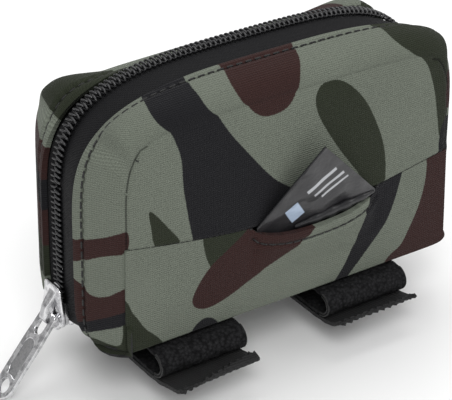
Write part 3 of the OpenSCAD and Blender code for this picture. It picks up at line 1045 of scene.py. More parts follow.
def lower_patch(u, v):
    """The lower front panel, from under the bottom edge up to the seam or the slot's lip."""
    one = np.ones_like(u)
    half = FRONT["face_half"]
    tuck = 0.2
    face_v = np.clip((v - tuck) / (1 - tuck), 0, 1)
    s = np.clip(v / tuck, 0, 1)
    top_x = mix(-half, half, u)
    top_z = np.where(abs(slot_u(top_x)) < 1, lip_z(top_x), seam_z(top_x))
    low_x, _, low_z = wall(FRONT, -1 + 2 * u, -one, one)
    ends = []
    corners = []
    for side in (-1, 1):
        q = side_q(FRONT, seam_z(np.float64(side * half)))
        x, _, z = wall(FRONT, side * one, mix(-1, q, face_v), one)
        ends.append((x, z))
        corners.append(wall(FRONT, np.float64(side), np.float64(-1), np.float64(1)))
    cx = (corners[0][0], corners[1][0], -half, half)
    cz = (corners[0][2], corners[1][2], float(seam_z(np.float64(-half))),
          float(seam_z(np.float64(half))))
    x = coons(low_x, top_x, ends[0][0], ends[1][0], cx, u, face_v)
    z = coons(low_z, top_z, ends[0][1], ends[1][1], cz, u, face_v)
    y = face_y(FRONT, x, z) - lip_out(x, z)
    under_x, under_y, under_z = wall(FRONT, -1 + 2 * u, -one, s)
    below = v < tuck
    return (np.where(below, under_x, x), np.where(below, under_y, y),
            np.where(below, under_z, z), np.where(below, under_x, x),
            np.where(below, -(1 - s) * 11.2, z))


class POUCH_OT_lower_panel(bpy.types.Operator):
    """Builds the lower front panel, its lip and its rolled hem"""
    bl_idname = "pouch.lower_panel"
    bl_label = "Lower front panel"

    def execute(self, context):
        mats = materials(context.scene)
        obj = grid("lower_panel", 110, 34, lower_patch)
        face_out(obj, (0, -0.010, 0.012))
        puff(obj, edge_mask(obj), 1.6, 0.9)
        modify(obj, "SUBSURF", levels=1, render_levels=1)
        sink(obj, hem_line(), 0.35, SEAM_W, pucker=0.2)
        finish_shell(obj, mats, LOWER_BLOBS, None, "front_lower_panel", "slot_hem")
        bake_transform(obj)
        return {"FINISHED"}


def hem_line():
    """The hem's stitched places, under the slot's lip."""
    x = np.linspace(SLOT[0] + 0.2, SLOT[1] - 0.2, 40)
    drop = np.minimum(1, (seam_z(x) - lip_z(x)) / 1.4)
    z = lip_z(x) - HEM_W * mix(0.75, 1, drop)
    return np.stack([x, face_y(FRONT, x, z) - lip_out(x, z), z], 1)


def panel_seam():
    """The places of the seam between the two front panels."""
    x = np.linspace(-FRONT["face_half"], FRONT["face_half"], 80)
    z = seam_z(x)
    return np.stack([x, face_y(FRONT, x, z), z], 1)


class POUCH_OT_back_shell(bpy.types.Operator):
    """Builds the back panel with its two side gussets"""
    bl_idname = "pouch.back_shell"
    bl_label = "Back shell"

    def execute(self, context):
        mats = materials(context.scene)
        floor = np.vectorize(lambda x: 2.2 + 1.6 * abs(x / BACK["face_half"]) ** 12)
        obj = padded_shell("back_shell", BACK, floor, 100, 56, 2.0, 1.1, 0.6, 0.4)
        finish_shell(obj, mats, BACK_BLOBS, "root",
                     "back_panel", "back_left_gusset", "back_right_gusset")
        return {"FINISHED"}


class POUCH_OT_bottom_panel(bpy.types.Operator):
    """Builds the bottom panel, which the straps are sewn to"""
    bl_idname = "pouch.bottom_panel"
    bl_label = "Bottom panel"

    def execute(self, context):
        mats = materials(context.scene)
        low, high = node_box("bottom_panel")

        def slab(u, v):
            y = mix(low[1], high[1], v)
            half = high[0] - 3.0 * smooth(6, 18, y) - 2.0 * smooth(-12, -20.7, y)
            x = mix(-half, half, u)
            edge = np.minimum(1, (1 - abs(2 * u - 1)) * 22)
            return x, y, 0.1 + 0.9 * (1 - edge) ** 2, x, -20 - y

        obj = grid("bottom_panel_cover", 60, 24, slab)
        face_out(obj, (0, 0, 0.02))
        modify(obj, "SUBSURF", levels=1, render_levels=1)
        finish_shell(obj, mats, LOWER_BLOBS, "root", "bottom_panel")
        return {"FINISHED"}


# ---------------------------------------------------------------- stitching

def stitch_run(name, tree, line, pitch, length, body, lift=0.12, width=0.5):
    """A row of stitches along a line of places, laid on the surface of a finished piece."""
    spots = along(line, pitch)
    deselect()
    bpy.ops.mesh.primitive_cylinder_add(vertices=8, radius=0.5, depth=1)
    one = bpy.context.object
    edit_all(one)
    bpy.ops.mesh.bevel(offset=0.16, segments=1)
    bpy.ops.object.mode_set(mode="OBJECT")
    shape = coords(one)
    faces = [list(f.vertices) for f in one.data.polygons]
    bpy.data.objects.remove(one)
    verts, polys = [], []
    for i in range(len(spots) - 1):
        ends = []
        for k in (0.5 - length / pitch / 2, 0.5 + length / pitch / 2):
            spot = Vector(spots[i] * (1 - k) + spots[i + 1] * k) * MM
            where, normal, _, gap = tree.find_nearest(spot)
            if where is None or gap > 0.008:
                break
            ends.append((where, normal))
        if len(ends) < 2:
            continue
        a, b = (w + n * lift * MM for w, n in ends)
        run = b - a
        out = (ends[0][1] + ends[1][1]).normalized()
        side = run.cross(out).normalized()
        out = side.cross(run).normalized()
        base = len(verts)
        for x, y, z in shape:
            arch = 0.10 * (1 - (2 * z) ** 2)
            verts.append((a + b) / 2 + run * z + side * (x * width * MM)
                         + out * ((y * width * 0.7 + arch) * MM))
        polys += [[base + j for j in f] for f in faces]
    obj = mesh_piece(name, verts, polys)
    return finish(obj, MATERIALS["thread"], "thread", body, angle=50)


class POUCH_OT_stitching(bpy.types.Operator):
    """Sews the rows of stitches along the seams, the hem and the slot's ends"""
    bl_idname = "pouch.stitching"
    bl_label = "Stitching"

    def execute(self, context):
        pitch = round(context.scene.pouch_sizes.stitch_pitch / MM, 3)
        trees = {piece: outer_tree(bpy.data.objects[piece])
                 for piece in ("front_shell", "back_shell", "lower_panel")}
        for piece, shell, body in (("front_shell", FRONT, "front_half"),
                                   ("back_shell", BACK, "root")):
            stitch_run(piece + "_topstitch", trees[piece], rim_line(shell, RIM_INSET), pitch,
                       pitch - 0.7, body)
        tree = trees["front_shell"]
        for word, a, b in (("left", -FRONT["face_half"] + 0.5, SLOT[0]),
                           ("right", SLOT[1], FRONT["face_half"] - 0.5)):
            x = np.linspace(a, b, 40)
            line = np.stack([x, face_y(FRONT, x, seam_z(x)), seam_z(x) + 0.25], 1)
            stitch_run(f"panel_seam_{word}_thread", tree, line, 1.6, 1.1, "front_half",
                       0.02, 0.36)
        stitch_run("hem_thread", trees["lower_panel"], hem_line(), 2.4, 1.9, "front_half",
                   0.03, 0.42)
        for word, x in (("left", SLOT[0] - 0.4), ("right", SLOT[1] + 0.4)):
            z = np.linspace(-3.2, 0.6, 9) + float(seam_z(np.float64(x)))
            row = [(x + 0.35 * (-1) ** i, float(face_y(FRONT, x, h)), h)
                   for i, h in enumerate(z)]
            tack = stitch_run(f"{word}_bar_tack", tree, np.array(row), 0.5, 0.6, "front_half",
                              0.3, 0.5)
            if word == "left":
                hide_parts("slot_bar_tacks")
        return {"FINISHED"}


def outer_tree(obj):
    """A search tree over the printed outer side of a padded piece."""
    me = obj.data
    verts = [v.co for v in me.vertices]
    polys = [list(f.vertices) for f in me.polygons if f.material_index == 0]
    return BVHTree.FromPolygons(verts, polys)


# ---------------------------------------------------------------- zip

def ring(w, half, top, n_low, low=0.5):
    """A place on the zip's way: up the left side, over the top and down the right side."""
    p, q = round_way(w, -0.985)
    return rounded(p, q, half, low, top, 3.4, n_low)


def chain_at(w):
    """A place on the line where the two coils mesh."""
    return ring(w, CHAIN_HALF, CHAIN_TOP, CHAIN_SQUARENESS)


def tape_rows(seam_y, chain_y):
    """Rows of a tape's cross section: share of the way to the chain, depth and inset."""
    way = np.sign(chain_y - seam_y)
    return [(0.0, seam_y - way * 2.2, 2.6), (0.0, seam_y - way * 0.4, 1.9),
            (0.25, mix(seam_y, chain_y, 0.25), 1.0), (0.6, mix(seam_y, chain_y, 0.6), 0.8),
            (0.86, mix(seam_y, chain_y, 0.86), 0.9), (1.0, chain_y, 1.0)]


def tape_strip(name, shell, chain_y, w0, w1, cols):
    rows = tape_rows(shell["seam_y"], chain_y)
    share, depth, inset = (np.array(r) for r in zip(*rows))
    knots = np.linspace(0, 1, len(rows))

    def strip(u, v):
        w = mix(w0, w1, u)
        k = np.interp(v, knots, share)
        y = np.interp(v, knots, depth)
        d = np.interp(v, knots, inset)
        ax, az = ring(w, shell["seam_half"] - d, shell["seam_top"] - d, 9.0, 0.2)
        bx, bz = ring(w, CHAIN_HALF - d, CHAIN_TOP - d, CHAIN_SQUARENESS)
        return mix(ax, bx, k), y, mix(az, bz, k), w * 235.0, y
    obj = grid(name, cols, 14, strip)
    face_out(obj, (0, 0, 0.03))
    modify(obj, "SOLIDIFY", thickness=TAPE_T * MM, offset=-1)
    smooth_shade(obj, 60)
    return obj


def coil_tube(name, side, w0, w1, pitch=COIL_PITCH):
    """One side of the zip's coil: a flat helix whose turns reach over the meshing line."""
    w = np.linspace(0, 1, 3000)
    x, z = chain_at(w)
    run = np.r_[0, np.cumsum(np.hypot(np.diff(x), np.diff(z)))]
    start, stop = np.interp([w0, w1], w, run)
    per_turn = 12
    turns = int((stop - start) / pitch)
    count = turns * per_turn
    angle = np.arange(count + 1) / per_turn * 2 * math.pi
    first = math.ceil(start / pitch) * pitch
    at = first + np.arange(count + 1) / per_turn * pitch + (0.5 * pitch if side > 0 else 0)
    keep = at < stop
    angle, at = angle[keep], at[keep]
    px, pz = np.interp(at, run, x), np.interp(at, run, z)
    tx, tz = np.gradient(px), np.gradient(pz)
    size = np.hypot(tx, tz)
    nx, nz = -tz / size, tx / size
    out = -0.1 + 0.42 * np.sin(angle)
    y = side * (0.78 + 1.12 * np.sign(np.cos(angle)) * abs(np.cos(angle)) ** 0.8)
    line = np.stack([px + nx * out, y, pz + nz * out], 1)
    return tube(name, line, COIL_WIRE_R, 6)


def tube(name, line, radius, sides, radii=None):
    """A closed tube along a line of places, in millimetres."""
    line = np.asarray(line, float)
    tangent = np.gradient(line, axis=0)
    tangent /= np.linalg.norm(tangent, axis=1, keepdims=True)
    lean = np.array([0.31, 0.2, 0.93])
    a = np.cross(tangent, lean)
    a /= np.linalg.norm(a, axis=1, keepdims=True)
    b = np.cross(tangent, a)
    turn = np.arange(sides) / sides * 2 * math.pi
    size = radius if radii is None else np.asarray(radii)[:, None, None]
    rings = (line[:, None] + size * (a[:, None] * np.cos(turn)[None, :, None]
                                     + b[:, None] * np.sin(turn)[None, :, None]))
    n = len(line)
    faces = [(i * sides + j, i * sides + (j + 1) % sides, (i + 1) * sides + (j + 1) % sides,
              (i + 1) * sides + j) for i in range(n - 1) for j in range(sides)]
    faces += [tuple(range(sides))[::-1], tuple((n - 1) * sides + j for j in range(sides))]
    obj = mesh_piece(name, rings.reshape(-1, 3) * MM, faces)
    return smooth_shade(obj, 70)


def start_share():
    """How far along the zip its starting stretch ends."""
    w = np.linspace(0, SIDE_SHARE, 400)
    _, z = chain_at(w)
    return float(np.interp(START_TOP, z, w))


class POUCH_OT_zip(bpy.types.Operator):
    """Builds the two zip tapes and the two sides of the coil"""
    bl_idname = "pouch.zip"
    bl_label = "Zip tapes and coils"

    def execute(self, context):
        mats = materials(context.scene)
        split = start_share()
        tapes = [
            ("front_tape", FRONT, -0.35, split, 1.0, 200, "front_half", "front_zip_tape"),
            ("front_tape_start", FRONT, -0.35, 0.0, split, 60, None, "front_zip_tape_start"),
            ("back_tape", BACK, 0.35, 0.0, 1.0, 240, "root", "back_zip_tape"),
        ]
        for name, shell, chain_y, w0, w1, cols, body, node in tapes:
            obj = tape_strip(name, shell, chain_y, w0, w1, cols)
            self.settle(finish(obj, mats["tape"], "zip_tape", body, node), body)
        coils = [
            ("front_coil", -1, split, 1.0, "front_half", "front_zip_coil"),
            ("front_coil_start", -1, 0.0, split, None, "front_zip_coil_start"),
            ("back_coil", 1, 0.0, 1.0, "root", "back_zip_coil"),
        ]
        for name, side, w0, w1, body, node in coils:
            obj = coil_tube(name, side, w0, w1)
            self.settle(finish(obj, mats["coil"], "zip_coil", body, node), body)
        return {"FINISHED"}

    @staticmethod
    def settle(obj, body):
        """Bakes the placement of a stretch of zip that has no body of its own into its mesh."""
        if body is None:
            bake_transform(obj)


# ---------------------------------------------------------------- slider and pull tab

def flat_shape(name, outlines, depth, bevel, resolution=3):
    """A flat plate from closed outlines, the first its edge and the rest its holes."""
    curve = bpy.data.curves.new(name, "CURVE")
    curve.dimensions = "2D"
    curve.fill_mode = "BOTH"
    curve.extrude = max(depth / 2 - bevel, 0.001) * MM
    curve.bevel_depth = bevel * MM
    curve.bevel_resolution = resolution
    for outline in outlines:
        spline = curve.splines.new("POLY")
        spline.points.add(len(outline) - 1)
        for point, (x, y) in zip(spline.points, outline):
            point.co = (x * MM, y * MM, 0, 1)
        spline.use_cyclic_u = True
    obj = bpy.data.objects.new(name, curve)
    bpy.context.collection.objects.link(obj)
    pick(obj)
    bpy.ops.object.convert(target="MESH")
    return close_up(bpy.context.object, 0.004)


def arc(cx, cy, r, a0, a1, count):
    turn = np.radians(np.linspace(a0, a1, count))
    return [(cx + r * math.cos(t), cy + r * math.sin(t)) for t in turn]


def stand(obj, columns, origin):
    """Turns a flat piece so that its x, y and z run along three directions from an origin."""
    turn = np.array(columns, float).T
    set_coords(obj, coords(obj) @ turn.T + np.array(origin) * MM)
    return flip(obj) if np.linalg.det(turn) < 0 else obj


def joint_place(name):
    joint = next(j for j in frame["joints"] if j["name"] == name)
    return np.array(joint["pos_m"]) / MM


class POUCH_OT_slider(bpy.types.Operator):
    """Builds the zip slider with its shoulders, cheeks and bridge"""
    bl_idname = "pouch.slider"
    bl_label = "Zip slider"

    def execute(self, context):
        mats = materials(context.scene)
        low, high = node_box("slider_body")
        length = high[2] - low[2]
        wide = (high[1] - low[1]) / 2
        outline = (arc(0, 1.9, wide * 0.62, 200, 340, 9) + arc(wide - 1.3, 2.6, 1.3, -50, 10, 5)
                   + [(wide, 5.2), (wide - 0.25, 6.4), (3.5, length - 1.2)]
                   + arc(2.6, length - 1.0, 1.0, 10, 90, 4)
                   + arc(-2.6, length - 1.0, 1.0, 90, 170, 4)
                   + [(-3.5, length - 1.2), (-wide + 0.25, 6.4), (-wide, 5.2)]
                   + arc(-wide + 1.3, 2.6, 1.3, 170, 230, 5))
        parts = []
        for x, thick in ((low[0] + 0.45, 1.0), (high[0] - 0.45, 0.9)):
            plate = flat_shape("plate", [outline], thick, 0.3)
            parts.append(stand(plate, ((0, 1, 0), (0, 0, 1), (1, 0, 0)), (x, 0, low[2])))
        for side in (-1, 1):
            cheek = flat_shape("cheek", [[(0, 1.6), (1.5, 1.9), (1.5, 7.6), (0, 8.2)]], 0.9, 0.25)
            parts.append(stand(cheek, ((1, 0, 0), (0, 0, 1), (0, 1, 0)),
                               (low[0] + 0.5, side * 3.75, low[2])))
        post = flat_shape("post", [[(0.4, 0.5), (high[0] - low[0] - 0.4, 0.5),
                                    (high[0] - low[0] - 0.4, 3.6), (0.4, 4.4)]], 0.5, 0.12)
        parts.append(stand(post, ((1, 0, 0), (0, 0, 1), (0, 1, 0)), (low[0], 0, low[2])))
        obj = join("zip_slider", parts, 0.001)
        finish(obj, mats["chrome"], "zip_metal", "slider", "slider_body", angle=50)
        self.bridge(mats, low)
        return {"FINISHED"}

    @staticmethod
    def bridge(mats, low):
        """The crown over the pull tab's bar: a broad arch, waisted in the middle."""
        foot = low[0] + 0.9
        tall = foot - node_box("slider_bridge")[0][0]
        outer = [(0, 0.2), (1.5, 0.2), (2.6, 1.1), (tall, 2.8), (tall - 0.1, 4.2),
                 (tall - 0.6, 6.2), (1.6, 8.6), (0.7, 10.1), (0, 10.6)]
        inner = [(0, 8.4), (0.5, 7.7), (1.5, 5.7), (1.92, 4.2), (1.9, 2.6), (1.25, 1.65),
                 (0, 1.45)]
        arch = flat_shape("bridge", [outer + inner], 2.9, 0.4)
        stand(arch, ((-1, 0, 0), (0, 0, 1), (0, 1, 0)), (foot + 0.15, 0, 0))
        modify(arch, "SUBSURF", levels=1, render_levels=1, subdivision_type="SIMPLE")
        co = coords(arch)
        waist = 1 - 0.3 * np.exp(-(((co[:, 2] / MM - 5.6) / 2.0) ** 2))
        co[:, 1] *= waist
        set_coords(arch, co)
        arch.name = "slider_crown"
        finish(arch, mats["chrome"], "zip_metal", "slider", "slider_bridge", angle=50)


class POUCH_OT_pull_tab(bpy.types.Operator):
    """Builds the pull tab with its eye, its sunk field and its round hole"""
    bl_idname = "pouch.pull_tab"
    bl_label = "Pull tab"

    def execute(self, context):
        mats = materials(context.scene)
        pivot = joint_place("tab_swing")
        hole = np.array(next(m for m in frame["record"]["mounts"]
                             if m["name"] == "tab_hole")["pos_m"]) / MM
        down = hole - pivot
        reach = np.linalg.norm(down)
        down /= reach
        out = np.array([down[2], 0, -down[0]])
        half = 3.2
        edge = (arc(0, -reach, half, 180, 360, 25)
                + [(half, -7.0), (half - 0.15, -5.0)] + arc(2.1, -0.1, 0.8, 0, 80, 6)
                + arc(-2.1, -0.1, 0.8, 100, 180, 6) + [(-half + 0.15, -5.0), (-half, -7.0)])
        hole_edge = arc(0, -reach, 2.2, 0, 345, 24)
        eye = ([(-1.75, -0.75), (1.75, -0.75), (1.85, -1.6), (1.9, -3.6)]
               + arc(0, -4.1, 1.85, 0, -180, 13) + [(-1.9, -3.6), (-1.85, -1.6)])
        field = (arc(0, -9.2, 2.2, 0, 180, 13) + [(-2.2, -15.6)] + arc(0, -reach, 3.4, 138, 128, 2)
                 + arc(0, -reach, 2.95, 118, 62, 9) + [(2.2, -15.6)])
        core = flat_shape("tab_core", [edge, eye, hole_edge], 0.7, 0.2)
        rim = flat_shape("tab_rim", [edge, eye, hole_edge, field], 1.25, 0.28)
        columns = ((0, 1, 0), tuple(-down), tuple(out))
        for piece in (core, rim):
            stand(piece, columns, pivot)
        set_material(rim, mats["chrome"])
        set_material(core, mats["stipple"])
        obj = join("pull_tab_plate", [rim, core], 0.0005)
        finish(obj, None, "zip_metal", "pull_tab", "pull_tab", angle=50)
        return {"FINISHED"}


class POUCH_OT_zip_ends(bpy.types.Operator):
    """Builds the metal stop at the far end of the zip"""
    bl_idname = "pouch.zip_ends"
    bl_label = "Zip end stop"

    def execute(self, context):
        mats = materials(context.scene)
        low, high = node_box("zip_end_stop")
        deselect()
        bpy.ops.mesh.primitive_cube_add(size=1, location=tuple((low + high) / 2 * MM))
        obj = bpy.context.object
        obj.name = "zip_stop"
        obj.scale = tuple((high - low) * MM)
        bpy.ops.object.transform_apply(location=True, rotation=True, scale=True)
        modify(obj, "BEVEL", width=0.0004, segments=3)
        finish(obj, mats["chrome"], "zip_metal", "root", "zip_end_stop", angle=50)
        return {"FINISHED"}


# ---------------------------------------------------------------- straps

def strap_strip(name, x0, x1, path, tufts=0.0, cols=40, pinked=0.0, skew=0.0):
    """A strip of webbing along a path of (y, z) places, with tufts, and a pinked end if asked."""
    line = along(path, 0.6)

    def strip(u, v):
        at = v * (len(line) - 1)
        y = np.interp(at, np.arange(len(line)), line[:, 0])
        z = np.interp(at, np.arange(len(line)), line[:, 1])
        x = mix(x0, x1, u)
        return x, y, z, x - x0, at * 0.6
    obj = grid(name, cols, len(line), strip)
    co = coords(obj)
    fabric = fabric_of(obj)
    last = fabric[:, 1].max()
    near_end = np.clip((fabric[:, 1] - last + 9) / 9, 0, 1)
    teeth = abs((fabric[:, 0] / 2.1) % 1 - 0.5) * 2
    ragged = np.array([noise.noise(Vector((x * 1.7, 3.1, 0))) for x in fabric[:, 0]])
    tail = near_end ** 6
    co[:, 1] += tail * (pinked * (teeth + 0.8 * ragged) + skew * (fabric[:, 0] / 25)) * MM
    set_coords(obj, co)
    if tufts:
        normal = normals_of(obj)
        bumps = np.array([noise.cell(Vector((x * 0.9, y * 0.9, 1))) * 0.4
                          + noise.noise(Vector((x * 1.3, y * 1.3, 5))) for x, y in fabric])
        ribs = np.sin(fabric[:, 0] * 2 * math.pi / 1.6) * 0.25
        set_coords(obj, coords(obj) + normal * ((bumps + ribs) * tufts * MM)[:, None])
    return obj


class POUCH_OT_straps(bpy.types.Operator):
    """Builds the two hook-and-loop straps, each with its sewn part and its two flaps"""
    bl_idname = "pouch.straps"
    bl_label = "Straps"

    def execute(self, context):
        mats = materials(context.scene)
        for word in ("left", "right"):
            low, high = node_box(f"{word}_strap_anchor")
            self.sewn_part(mats, word, low, high)
            self.loop_flap(mats, word, low, high)
            self.hook_flap(mats, word, low, high)
        return {"FINISHED"}

    @staticmethod
    def sewn_part(mats, word, low, high):
        """The stretch under the pouch with the fold at each end."""
        front_r = -node_box(f"{word}_loop_flap")[0][2] / 2
        rear_r = -low[2] / 2
        front_y = low[1] + front_r
        rear_y = high[1] - rear_r
        r = front_r - 0.6
        front = [(front_y - r * 1.12 * math.sin(t), -front_r + r * math.cos(t))
                 for t in np.linspace(math.pi, 0.02, 20)]
        rr = rear_r - 0.6
        rear = [(rear_y + rr * math.sin(t), -rear_r + rr * math.cos(t))
                for t in np.linspace(0.02, math.pi, 20)]
        path = front + rear
        obj = strap_strip(f"{word}_strap_fold", low[0], high[0], path, tufts=0.34, cols=44)
        face_out(obj, (0, 0, -front_r * MM))
        modify(obj, "SOLIDIFY", thickness=STRAP_T * MM, offset=0)
        modify(obj, "SUBSURF", levels=1, render_levels=1)
        finish(obj, mats["pile"], "strap_webbing", "root", f"{word}_strap_anchor", angle=60)
        edges = []
        for x in (low[0] + 0.15, high[0] - 0.15):
            for level in (-0.35, 0.35):
                line = np.array([(x, y, z) for y, z in along(front, 0.7)])
                centre = np.array([x, front_y, -front_r])
                away = line - centre
                away /= np.linalg.norm(away, axis=1, keepdims=True)
                edges.append(tube("binding", line + away * level, 0.22, 6))
        binding = join(f"{word}_strap_binding", edges, 0.0001)
        finish(binding, mats["thread"], "strap_webbing", "root")

    @staticmethod
    def loop_flap(mats, word, low, high):
        """The loop flap: the pile layer inside, which the hooks grip."""
        flap_low, flap_high = node_box(f"{word}_loop_flap")
        mid = (flap_low[2] + flap_high[2]) / 2
        path = [(flap_low[1], mid), (flap_high[1], mid)]
        obj = strap_strip(f"{word}_pile_flap", low[0], high[0], path, tufts=0.12)
        face_out(obj, (0, 0, 0.05))
        modify(obj, "SOLIDIFY", thickness=0.9 * MM, offset=0)
        finish(obj, mats["pile"], "strap_webbing", f"{word}_loop", f"{word}_loop_flap", angle=60)

    @staticmethod
    def hook_flap(mats, word, low, high):
        """The hook flap: flat webbing whose pinked end sticks out in front and curls up."""
        flap_low, flap_high = node_box(f"{word}_hook_flap")
        mid = (flap_low[2] + flap_high[2]) / 2
        skew = 5.0 if word == "left" else 0.5
        tip = flap_low[1] + (1.0 if word == "right" else -2.4)
        path = [(flap_high[1], mid), (0, mid), (-20, mid), (-26, mid + 0.3),
                (-29.5, mid + 1.2), (tip + 1.4, mid + 2.4), (tip, mid + 3.0)]
        obj = strap_strip(f"{word}_hook_strap", low[0] + 0.2, high[0] - 0.2, path,
                          tufts=0.05, cols=72, pinked=1.1, skew=skew)
        face_out(obj, (0, 0, 0.05))
        modify(obj, "SOLIDIFY", thickness=HOOK_T * MM, offset=0)
        finish(obj, mats["webbing"], "strap_webbing", f"{word}_hook", f"{word}_hook_flap", angle=60)


# ---------------------------------------------------------------- bag and roll

class POUCH_OT_bag(bpy.types.Operator):
    """Builds the bag that feeds out of the slot, and the roll on its core"""
    bl_idname = "pouch.bag"
    bl_label = "Bag and roll"

    def execute(self, context):
        mats = materials(context.scene)
        low, high = FILM_LOW, FILM_HIGH
        corner = np.array([3.3, high[2]])
        left = np.array([low[0] + 0.2, SEAM_MID_Z + 0.2])
        right = np.array([high[0] + 0.2, SEAM_MID_Z + 0.4])
        base_y = FRONT["face_y"] - 0.45

        def leaf(u, v):
            """v runs from the tail inside the pouch to the corner, u from left to right."""
            tail = np.clip(v / 0.4, 0, 1)
            rise = np.clip((v - 0.4) / 0.6, 0, 1)
            x_low = mix(left[0] + 6, left[0], smooth(0.5, 1, tail))
            x_high = mix(right[0] - 6, right[0], smooth(0.5, 1, tail))
            x = mix(mix(x_low, x_high, u), corner[0], rise)
            z = mix(mix(low[2], left[1], tail), corner[1], rise)
            fold = 0.9 * np.sin(u * 5.0 + v * 3.0) * rise * (1 - rise) * 2
            dish = -1.4 * (2 * u - 1) ** 2 * rise * (1 - rise)
            y = base_y - (z - LIP_HEIGHT) * math.tan(BAG_LEAN) + fold * 0.4 + dish
            return x, y, z, x, z
        obj = grid("bag_leaf", 44, 44, leaf)
        face_out(obj, (0.006, 0.01, 0.03))
        co = coords(obj)
        crumple = np.array([noise.noise(Vector((x * 180, z * 260, 2.0))) for x, _, z in co])
        co[:, 1] += crumple * 0.0005
        set_coords(obj, co)
        modify(obj, "SOLIDIFY", thickness=BAG_T * MM, offset=0)
        finish(obj, mats["print"], "bag_film", "film", "bag_film", angle=60)
        self.rolled_edge_and_shadow(mats, left, right, corner, base_y)
        self.roll(mats)
        return {"FINISHED"}

    @staticmethod
    def rolled_edge_and_shadow(mats, left, right, corner, base_y):
        """The bag's gathered black edge: a loose roll along its lower right side, which also stands in
        for the shadow along that edge.
        """
        t = np.linspace(0, 1, 40)
        x = mix(left[0] + 11.5, right[0] - 0.6, t)
        z = mix(22.6, right[1] - 0.6, t ** 1.4)
        y = base_y - (z - LIP_HEIGHT) * math.tan(BAG_LEAN) - 0.55
        radii = 0.25 + 1.15 * np.sin(np.pi * np.clip(t * 0.94 + 0.03, 0, 1)) ** 0.7
        radii *= 1 + 0.12 * np.sin(t * 31)
        # Partly painted shadow: this dark tube is the bag's rolled edge and also stands for the shadow
        # along it.
        edge = tube("bag_gather", np.stack([x, y, z], 1), 1.0, 12, radii)
        co = coords(edge)
        co[:, 1] = (co[:, 1] - y.mean() * MM) * 0.62 + y.mean() * MM
        set_coords(edge, co)
        t = np.linspace(0, 1, 30)
        x, z = mix(left[0], corner[0], t), mix(left[1], corner[1], t)
        y = base_y - (z - LIP_HEIGHT) * math.tan(BAG_LEAN) - 0.1
        fold = tube("bag_fold", np.stack([x, y, z], 1), 0.32, 8)
        obj = join("bag_dark_edges", [edge, fold], 0.0001)
        finish(obj, mats["film"], "bag_film", "film")

    @staticmethod
    def roll(mats):
        """The roll of bags: wound film with slightly uneven ends, on a card tube."""
        for node, name, material, slot in (("bag_roll", "wound_roll", "film", "bag_film"),
                                           ("roll_core", "card_tube", "card", "card_core")):
            low, high = node_box(node)
            radius = (high[2] - low[2]) / 2
            mid = (low + high) / 2
            bore = CORE_R if node == "bag_roll" else CORE_BORE_R
            bands = np.r_[np.linspace(bore, radius - 0.15, 9), radius]
            profile = [(low[0] + 0.25 * (i % 2), r) for i, r in enumerate(bands)]
            profile += [(high[0] - 0.25 * (i % 2), r) for i, r in reversed(list(enumerate(bands)))]
            sides = 64
            verts = [(x, mid[1] + r * math.cos(a), mid[2] + r * math.sin(a))
                     for x, r in profile for a in np.arange(sides) / sides * 2 * math.pi]
            n = len(profile)
            faces = [(i * sides + j, i * sides + (j + 1) % sides,
                      (i + 1) % n * sides + (j + 1) % sides, (i + 1) % n * sides + j)
                     for i in range(n) for j in range(sides)]
            obj = mesh_piece(name, np.array(verts) * MM, faces)
            finish(obj, mats[material], slot, "roll", node, angle=30)


# ---------------------------------------------------------------- stage

class POUCH_OT_stage(bpy.types.Operator):
    """Sets the pale floor, the soft lights and the camera"""
    bl_idname = "pouch.stage"
    bl_label = "Stage"

    def execute(self, context):
        scene = context.scene
        deselect()
        bpy.ops.mesh.primitive_plane_add(size=6, location=(0, 0, CAD_BOX[0][2] - 0.0006))
        floor = bpy.context.object
        floor.name = "floor"
        m = Shader("floor_white", Roughness=0.9)
        at = m.object_mm()
        m.colour(m.blend((0.93, 0.93, 0.93, 1), (0.95, 0.95, 0.95, 1), m.noise(at, 0.01)))
        set_material(floor, m.material)
        world = bpy.data.worlds.new("studio")
        scene.world = world
        world.use_nodes = True
        background = world.node_tree.nodes["Background"]
        background.inputs[0].default_value = (1, 1, 1, 1)
        background.inputs[1].default_value = 0.52
        for name, where, size, power in (
                ("key", (-0.45, -0.7, 0.85), 0.5, 6.2),
                ("fill", (0.8, -0.6, 0.5), 0.6, 2.2),
                ("top", (0.1, 0.35, 1.0), 0.9, 5.5)):
            light = bpy.data.lights.new(name, "AREA")
            light.energy = power
            light.size = size
            lamp = bpy.data.objects.new(name, light)
            scene.collection.objects.link(lamp)
            lamp.location = where
            lamp.rotation_euler = (Vector((0, 0, 0.03)) - Vector(where)).to_track_quat(
                "-Z", "Y").to_euler()
        self.camera(scene)
        scene.view_settings.view_transform = "Standard"
        return {"FINISHED"}

    @staticmethod
    def camera(scene):
        """A long lens from the front left and above."""
        place, lens = (-0.2772, -0.3991, 0.2976), 174.9
        azimuth, height, roll = (math.radians(a) for a in (-34.4, 29.9, 0.7))
        back = Vector((math.sin(azimuth) * math.cos(height), -math.cos(azimuth) * math.cos(height),
                       math.sin(height)))
        right = Vector((0, 0, 1)).cross(back).normalized()
        up = back.cross(right)
        x_axis = right * math.cos(roll) + up * math.sin(roll)
        y_axis = up * math.cos(roll) - right * math.sin(roll)
        data = bpy.data.cameras.new("camera")
        data.lens = lens
        data.sensor_width = 36
        data.clip_end = 20
        camera = bpy.data.objects.new("camera", data)
        scene.collection.objects.link(camera)
        turn = Matrix((x_axis, y_axis, back)).transposed().to_4x4()
        camera.matrix_world = Matrix.Translation(place) @ turn
        scene.camera = camera


# ---------------------------------------------------------------- add-on

def colour_property(name, description, default):
    return FloatVectorProperty(name=name, description=description, default=default,
                               subtype="COLOR", size=3, min=0, max=1)


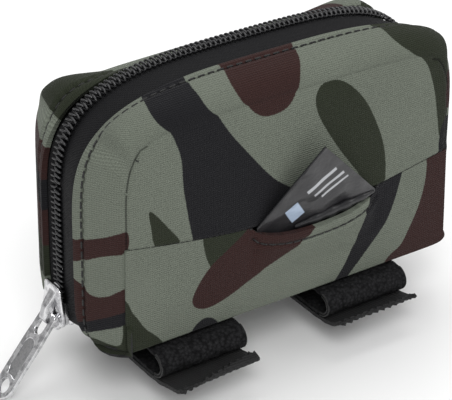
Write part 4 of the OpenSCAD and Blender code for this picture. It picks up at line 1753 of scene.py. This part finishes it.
class POUCH_PG_colours(bpy.types.PropertyGroup):
    """Colours of the camouflage print"""
    sage: colour_property("Sage", "Grey-green ground of the print", (0.205, 0.228, 0.185))
    olive: colour_property("Olive", "Dark olive blobs", (0.028, 0.034, 0.020))
    brown: colour_property("Brown", "Maroon brown blobs", (0.044, 0.019, 0.017))
    black: colour_property("Black", "Black blobs", (0.0125, 0.0125, 0.015))


class POUCH_PG_sizes(bpy.types.PropertyGroup):
    """Sizes of the sewing"""
    stitch_pitch: FloatProperty(name="Stitch pitch", description="Distance between stitches",
                                default=0.0027, unit="LENGTH")


class POUCH_PT_panel(bpy.types.Panel):
    """Lists the pouch's pieces"""
    bl_idname = "POUCH_PT_panel"
    bl_label = "Dispenser pouch"
    bl_space_type = "VIEW_3D"
    bl_region_type = "UI"
    bl_category = "Pouch"

    def draw(self, context):
        for name in ("sage", "olive", "brown", "black"):
            self.layout.prop(context.scene.pouch_colours, name)
        self.layout.prop(context.scene.pouch_sizes, "stitch_pitch")
        for operator in OPERATORS:
            self.layout.operator(operator.bl_idname)


OPERATORS = (
    POUCH_OT_stage, POUCH_OT_front_shell, POUCH_OT_lower_panel, POUCH_OT_back_shell,
    POUCH_OT_bottom_panel, POUCH_OT_stitching, POUCH_OT_zip, POUCH_OT_zip_ends,
    POUCH_OT_slider, POUCH_OT_pull_tab, POUCH_OT_straps, POUCH_OT_bag,
)
CLASSES = (POUCH_PG_colours, POUCH_PG_sizes) + OPERATORS + (POUCH_PT_panel,)


def register():
    for cls in CLASSES:
        bpy.utils.register_class(cls)
    bpy.types.Scene.pouch_colours = PointerProperty(type=POUCH_PG_colours)
    bpy.types.Scene.pouch_sizes = PointerProperty(type=POUCH_PG_sizes)


def unregister():
    del bpy.types.Scene.pouch_sizes
    del bpy.types.Scene.pouch_colours
    for cls in reversed(CLASSES):
        bpy.utils.unregister_class(cls)


def main():
    register()
    for operator in OPERATORS:
        group, name = operator.bl_idname.split(".")
        getattr(getattr(bpy.ops, group), name)()


if __name__ == "__main__":
    main()
